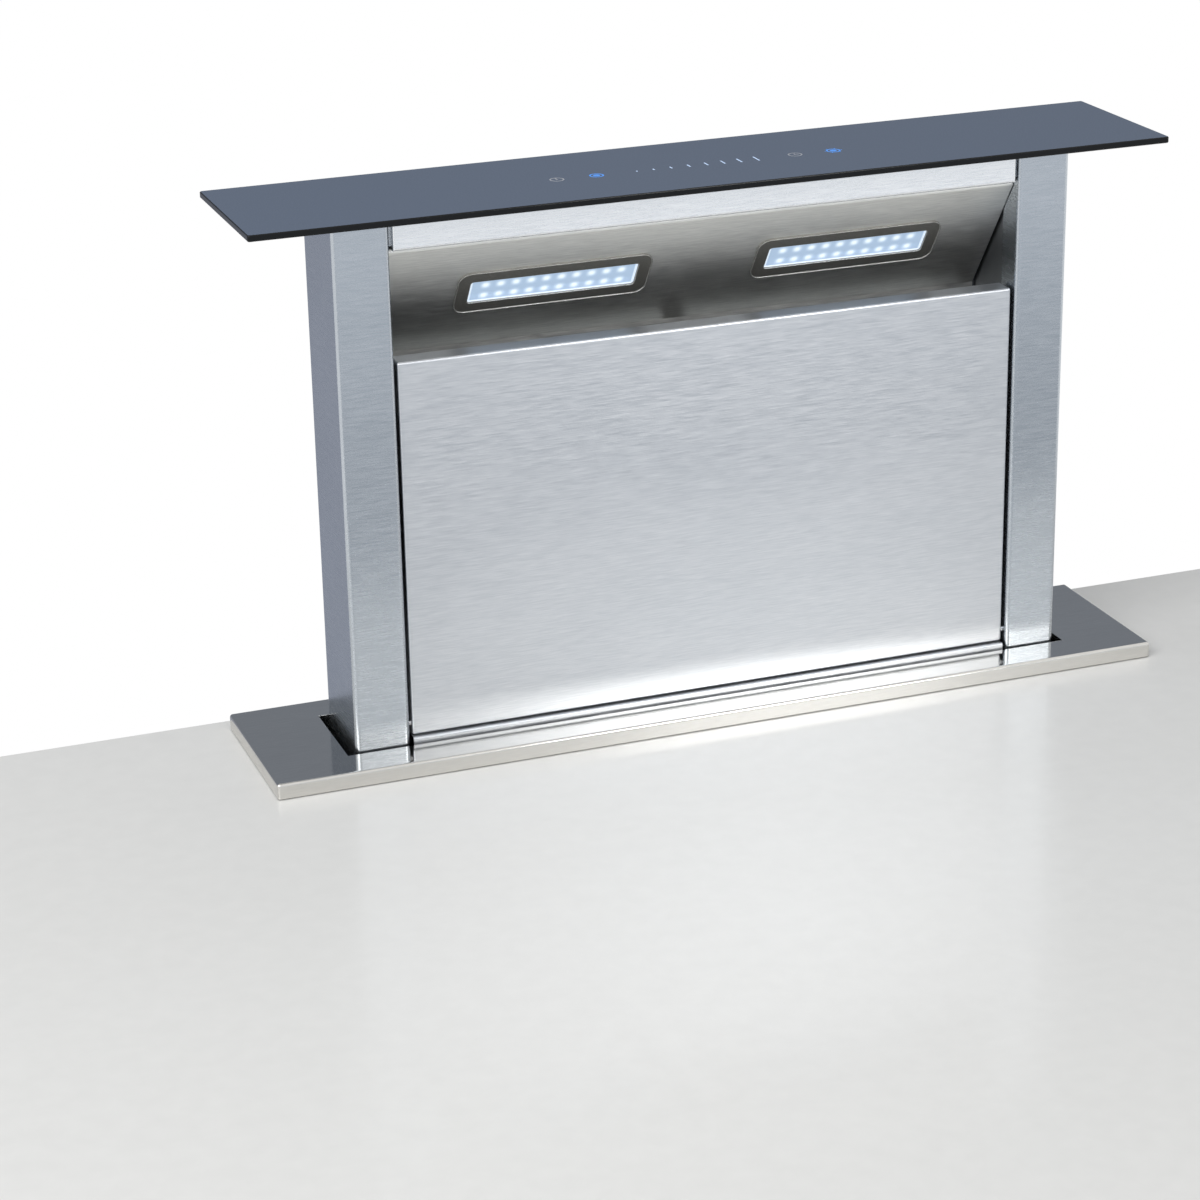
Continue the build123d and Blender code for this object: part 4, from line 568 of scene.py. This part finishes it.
def mesh_layer(shape, place, width, height, diamond, level):
    """One sheet of expanded aluminium: diamonds of strands 1 mm wide, cut to the frame. Sheets
    1.5 mm apart are shifted by half a diamond."""
    strand, merged, sliver = 1.0 * MM, 1.2 * MM, 0.3 * MM
    sheet = bmesh.new()
    count = int(2 * max(width / diamond[0], height / diamond[1]))
    bmesh.ops.create_grid(sheet, x_segments=count, y_segments=count, size=count / 2)
    quarter = Matrix.Rotation(pi / 4, 3, "Z")
    bmesh.ops.rotate(sheet, verts=sheet.verts, cent=(0, 0, 0), matrix=quarter)
    across = Vector((*diamond, 1)) * MM / 2 ** 0.5
    bmesh.ops.scale(sheet, verts=sheet.verts, vec=across)
    shift = Vector((level * diamond[0] / 3, height / 2, level)) * MM
    bmesh.ops.translate(sheet, verts=sheet.verts, vec=shift)

    walls = [((width / 2, 0, 0), (1, 0, 0)), ((-width / 2, 0, 0), (-1, 0, 0))]
    walls += [((0, height, 0), (0, 1, 0)), ((0, 0, 0), (0, -1, 0))]
    for point, out in walls:
        geom = sheet.verts[:] + sheet.edges[:] + sheet.faces[:]
        plane = {"plane_co": Vector(point) * MM, "plane_no": out}
        bmesh.ops.bisect_plane(sheet, geom=geom, clear_outer=True, **plane)
    bmesh.ops.remove_doubles(sheet, verts=sheet.verts, dist=merged)
    bmesh.ops.dissolve_degenerate(sheet, dist=sliver, edges=sheet.edges)
    closed = {"use_replace": True, "use_boundary": True, "use_even_offset": True}
    bmesh.ops.wireframe(sheet, faces=sheet.faces, thickness=strand, **closed)
    bmesh.ops.transform(sheet, matrix=place, verts=sheet.verts)
    pour(sheet, shape)


def expanded_mesh():
    """Three sheets of expanded aluminium in each filter, shifted so that their strands cross."""
    lean, rim, length = radians(6.96), 8, 220
    foot_y, foot_z = -0.2 * MM, 1.2 * MM
    low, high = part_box("left_filter_frame")
    width = (high.x - low.x) / MM - 2 * rim
    middle = (low.x + high.x) / 2
    axes = Matrix(((1, 0, 0), (0, sin(lean), -cos(lean)), (0, cos(lean), sin(lean)))).to_4x4()
    inside_rim = axes @ Matrix.Translation((0, rim * MM, 0))
    for side, x in (("left", middle), ("right", -middle)):
        shape = bmesh.new()
        place = Matrix.Translation((x, foot_y, foot_z)) @ inside_rim
        for level in (3.0, 4.5, 6.0):
            mesh_layer(shape, place, width, length, (14, 7), level)
        finish = finishes["filter_mesh"]
        made = piece(side + "_expanded_mesh", shape, "tower", finish)
        if side == "left":
            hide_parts("filter_meshes")


touch_symbols()
cross_head_screws()
lid_screws()
expanded_mesh()


# ---- Floor, surroundings and light --------------------------------------------------------

def rim_edges(shape, corners, z):
    """Closed outline of flat corners at a height."""
    verts = [shape.verts.new((x * MM, y * MM, z * MM)) for x, y in corners]
    return [shape.edges.new(pair) for pair in zip(verts, verts[1:] + verts[:1])]


def rectangle(left, right, front, back):
    """Corners of a rectangle, anticlockwise from the front left."""
    return [(left, front), (right, front), (right, back), (left, back)]


def worktop():
    """Plain pale worktop round the vent, with the cut-out that the housing hangs in. The metal
    mirrors it only as deep as a fitted worktop is. The slab in front of that fills the picture."""
    seam, thickness, reach = 0.6, 40, 620
    picture_edge, front_edge, back_edge = -720, -330, 73
    made, tree, shader = material("pale_worktop", IOR=1.5, Coat_Weight=0.2, Coat_Roughness=0.12)
    shader.inputs["Roughness"].default_value = 0.35
    stone = pattern(tree, (14, 14, 14), Detail=5.0).outputs[0]
    tint(tree, shader, stone, "#DFDFDD", "#E2E2E0")

    slab = bmesh.new()
    edges = rim_edges(slab, rectangle(-reach, reach, front_edge, back_edge), -seam)
    edges += rim_edges(slab, rectangle(-282, 282, -53, 53), -seam)
    bmesh.ops.bridge_loops(slab, edges=edges)
    apron = bmesh.new()
    edges = rim_edges(apron, rectangle(-reach, reach, picture_edge, front_edge), -seam)
    bmesh.ops.contextual_create(apron, geom=edges)
    for name, shape, mirrored in (("worktop", slab, True), ("worktop_front", apron, False)):
        thicken(shape, (0, 0, -thickness * MM))
        bmesh.ops.recalc_face_normals(shape, faces=shape.faces)
        floor = mesh_object(name, shape, made)
        floor.visible_glossy = mirrored


def card(name, centre, size, code):
    """Upright studio card, facing along Y, that only shows in reflections."""
    glowing = bpy.data.materials.new(name)
    glowing.use_nodes = True
    tree = glowing.node_tree
    tree.nodes.clear()
    glow = add(tree, "Emission", {"Color": linear(code), "Strength": 1.0}).outputs[0]
    add(tree, "OutputMaterial", {0: glow})
    sheet = bmesh.new()
    bmesh.ops.create_grid(sheet, x_segments=1, y_segments=1, size=0.5)
    upright = Matrix.Rotation(pi / 2, 4, "X") @ Matrix.Diagonal((*size, 1, 1))
    place = Matrix.Translation(centre) @ upright
    bmesh.ops.transform(sheet, matrix=place, verts=sheet.verts)
    made = mesh_object(name, sheet, glowing)
    made.visible_camera = False
    made.visible_diffuse = False
    made.visible_shadow = False
    made.visible_transmission = False


def area_light(name, width, height, watts):
    """Rectangular area light at the origin, shining down."""
    lamp = bpy.data.lights.new(name, "AREA")
    lamp.shape = "RECTANGLE"
    lamp.size = width
    lamp.size_y = height
    lamp.energy = watts
    made = bpy.data.objects.new(name, lamp)
    bpy.context.scene.collection.objects.link(made)
    return made


def lamp_light(x):
    """Light that one of the object's own lamps throws down and forwards, from just outside its
    lens."""
    low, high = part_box("lamp_lenses")
    made = area_light("lamp_light", 105 * MM, 18 * MM, 0.06)
    made.data.color = linear("#E6F0FF")[:3]
    outside = Vector((0, -1.6, -1.1)) * MM
    middle = Vector((x * MM, (low.y + high.y) / 2, (low.z + high.z) / 2)) + outside
    made.matrix_world = Matrix.Translation(middle) @ Matrix.Rotation(LAMP_LEAN, 4, "X")
    made.visible_glossy = False
    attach(made, "tower")


def surroundings():
    """White all round for the eye and for reflections, and softer as light."""
    world = bpy.data.worlds.new("studio")
    world.use_nodes = True
    tree = world.node_tree
    tree.nodes.clear()
    ray = add(tree, "LightPath")
    seen = ray.outputs["Is Camera Ray"]
    for kind in ("Is Glossy Ray", "Is Transmission Ray"):
        seen = add(tree, "Math", {0: seen, 1: ray.outputs[kind]}, operation="MAXIMUM").outputs[0]
    light = add(tree, "MapRange", {"Value": seen, "To Min": 0.62}).outputs[0]
    glow = add(tree, "Background", {"Color": linear("#FFFFFF"), "Strength": light}).outputs[0]
    add(tree, "OutputWorld", {0: glow})
    bpy.context.scene.world = world


def softbox(name, place, target, width, height, watts, diffuse=True):
    """Soft studio light aimed at a point. Without diffuse it only makes highlights."""
    made = area_light(name, width, height, watts)
    aim = (Vector(target) - Vector(place)).to_track_quat("-Z", "Y").to_matrix().to_4x4()
    made.matrix_world = Matrix.Translation(place) @ aim
    made.visible_camera = False
    made.visible_diffuse = diffuse


# The studio's places and sizes are in metres.
worktop()
surroundings()
softbox("key_softbox", (-2.0, -1.7, 2.1), (-0.3, -0.2, 0), 2.4, 2.4, 68)
softbox("fill_softbox", (1.1, -2.5, 1.5), (0, 0, 0.15), 0.5, 1.3, 18, diffuse=False)
card("upper_back_card", (0.6, 1.6, 1.25), (5.0, 2.3), "#838993")
card("lower_back_card", (-0.9, 1.6, -0.5), (3.0, 1.2), "#A3A7B3")
card("front_card", (0, -1.7, 0.17), (4.0, 0.86), "#EAEEF3")
card("low_front_card", (0, -1.7, -0.58), (4.0, 0.64), "#BCC0C5")
for lamp_x in (-94.2, 102.2):
    lamp_light(lamp_x)


# ---- Camera -------------------------------------------------------------------------------

def photo_camera():
    """Camera at the photograph's viewing angle, solved from its corners and edges."""
    stand = (-0.718384, -1.799114, 0.811928)
    heading, dip, roll = -0.347, 0.368, -0.0195
    lens = bpy.data.cameras.new("photo_camera")
    lens.sensor_width = 36.0
    lens.lens = 96.1986
    camera = bpy.data.objects.new("photo_camera", lens)
    bpy.context.scene.collection.objects.link(camera)
    aim = Matrix.Rotation(heading, 4, "Z") @ Matrix.Rotation(pi / 2 - dip, 4, "X")
    aim = aim @ Matrix.Rotation(roll, 4, "Z")
    camera.matrix_world = Matrix.Translation(stand) @ aim
    bpy.context.scene.camera = camera


photo_camera()
bpy.context.scene.view_settings.view_transform = "Standard"
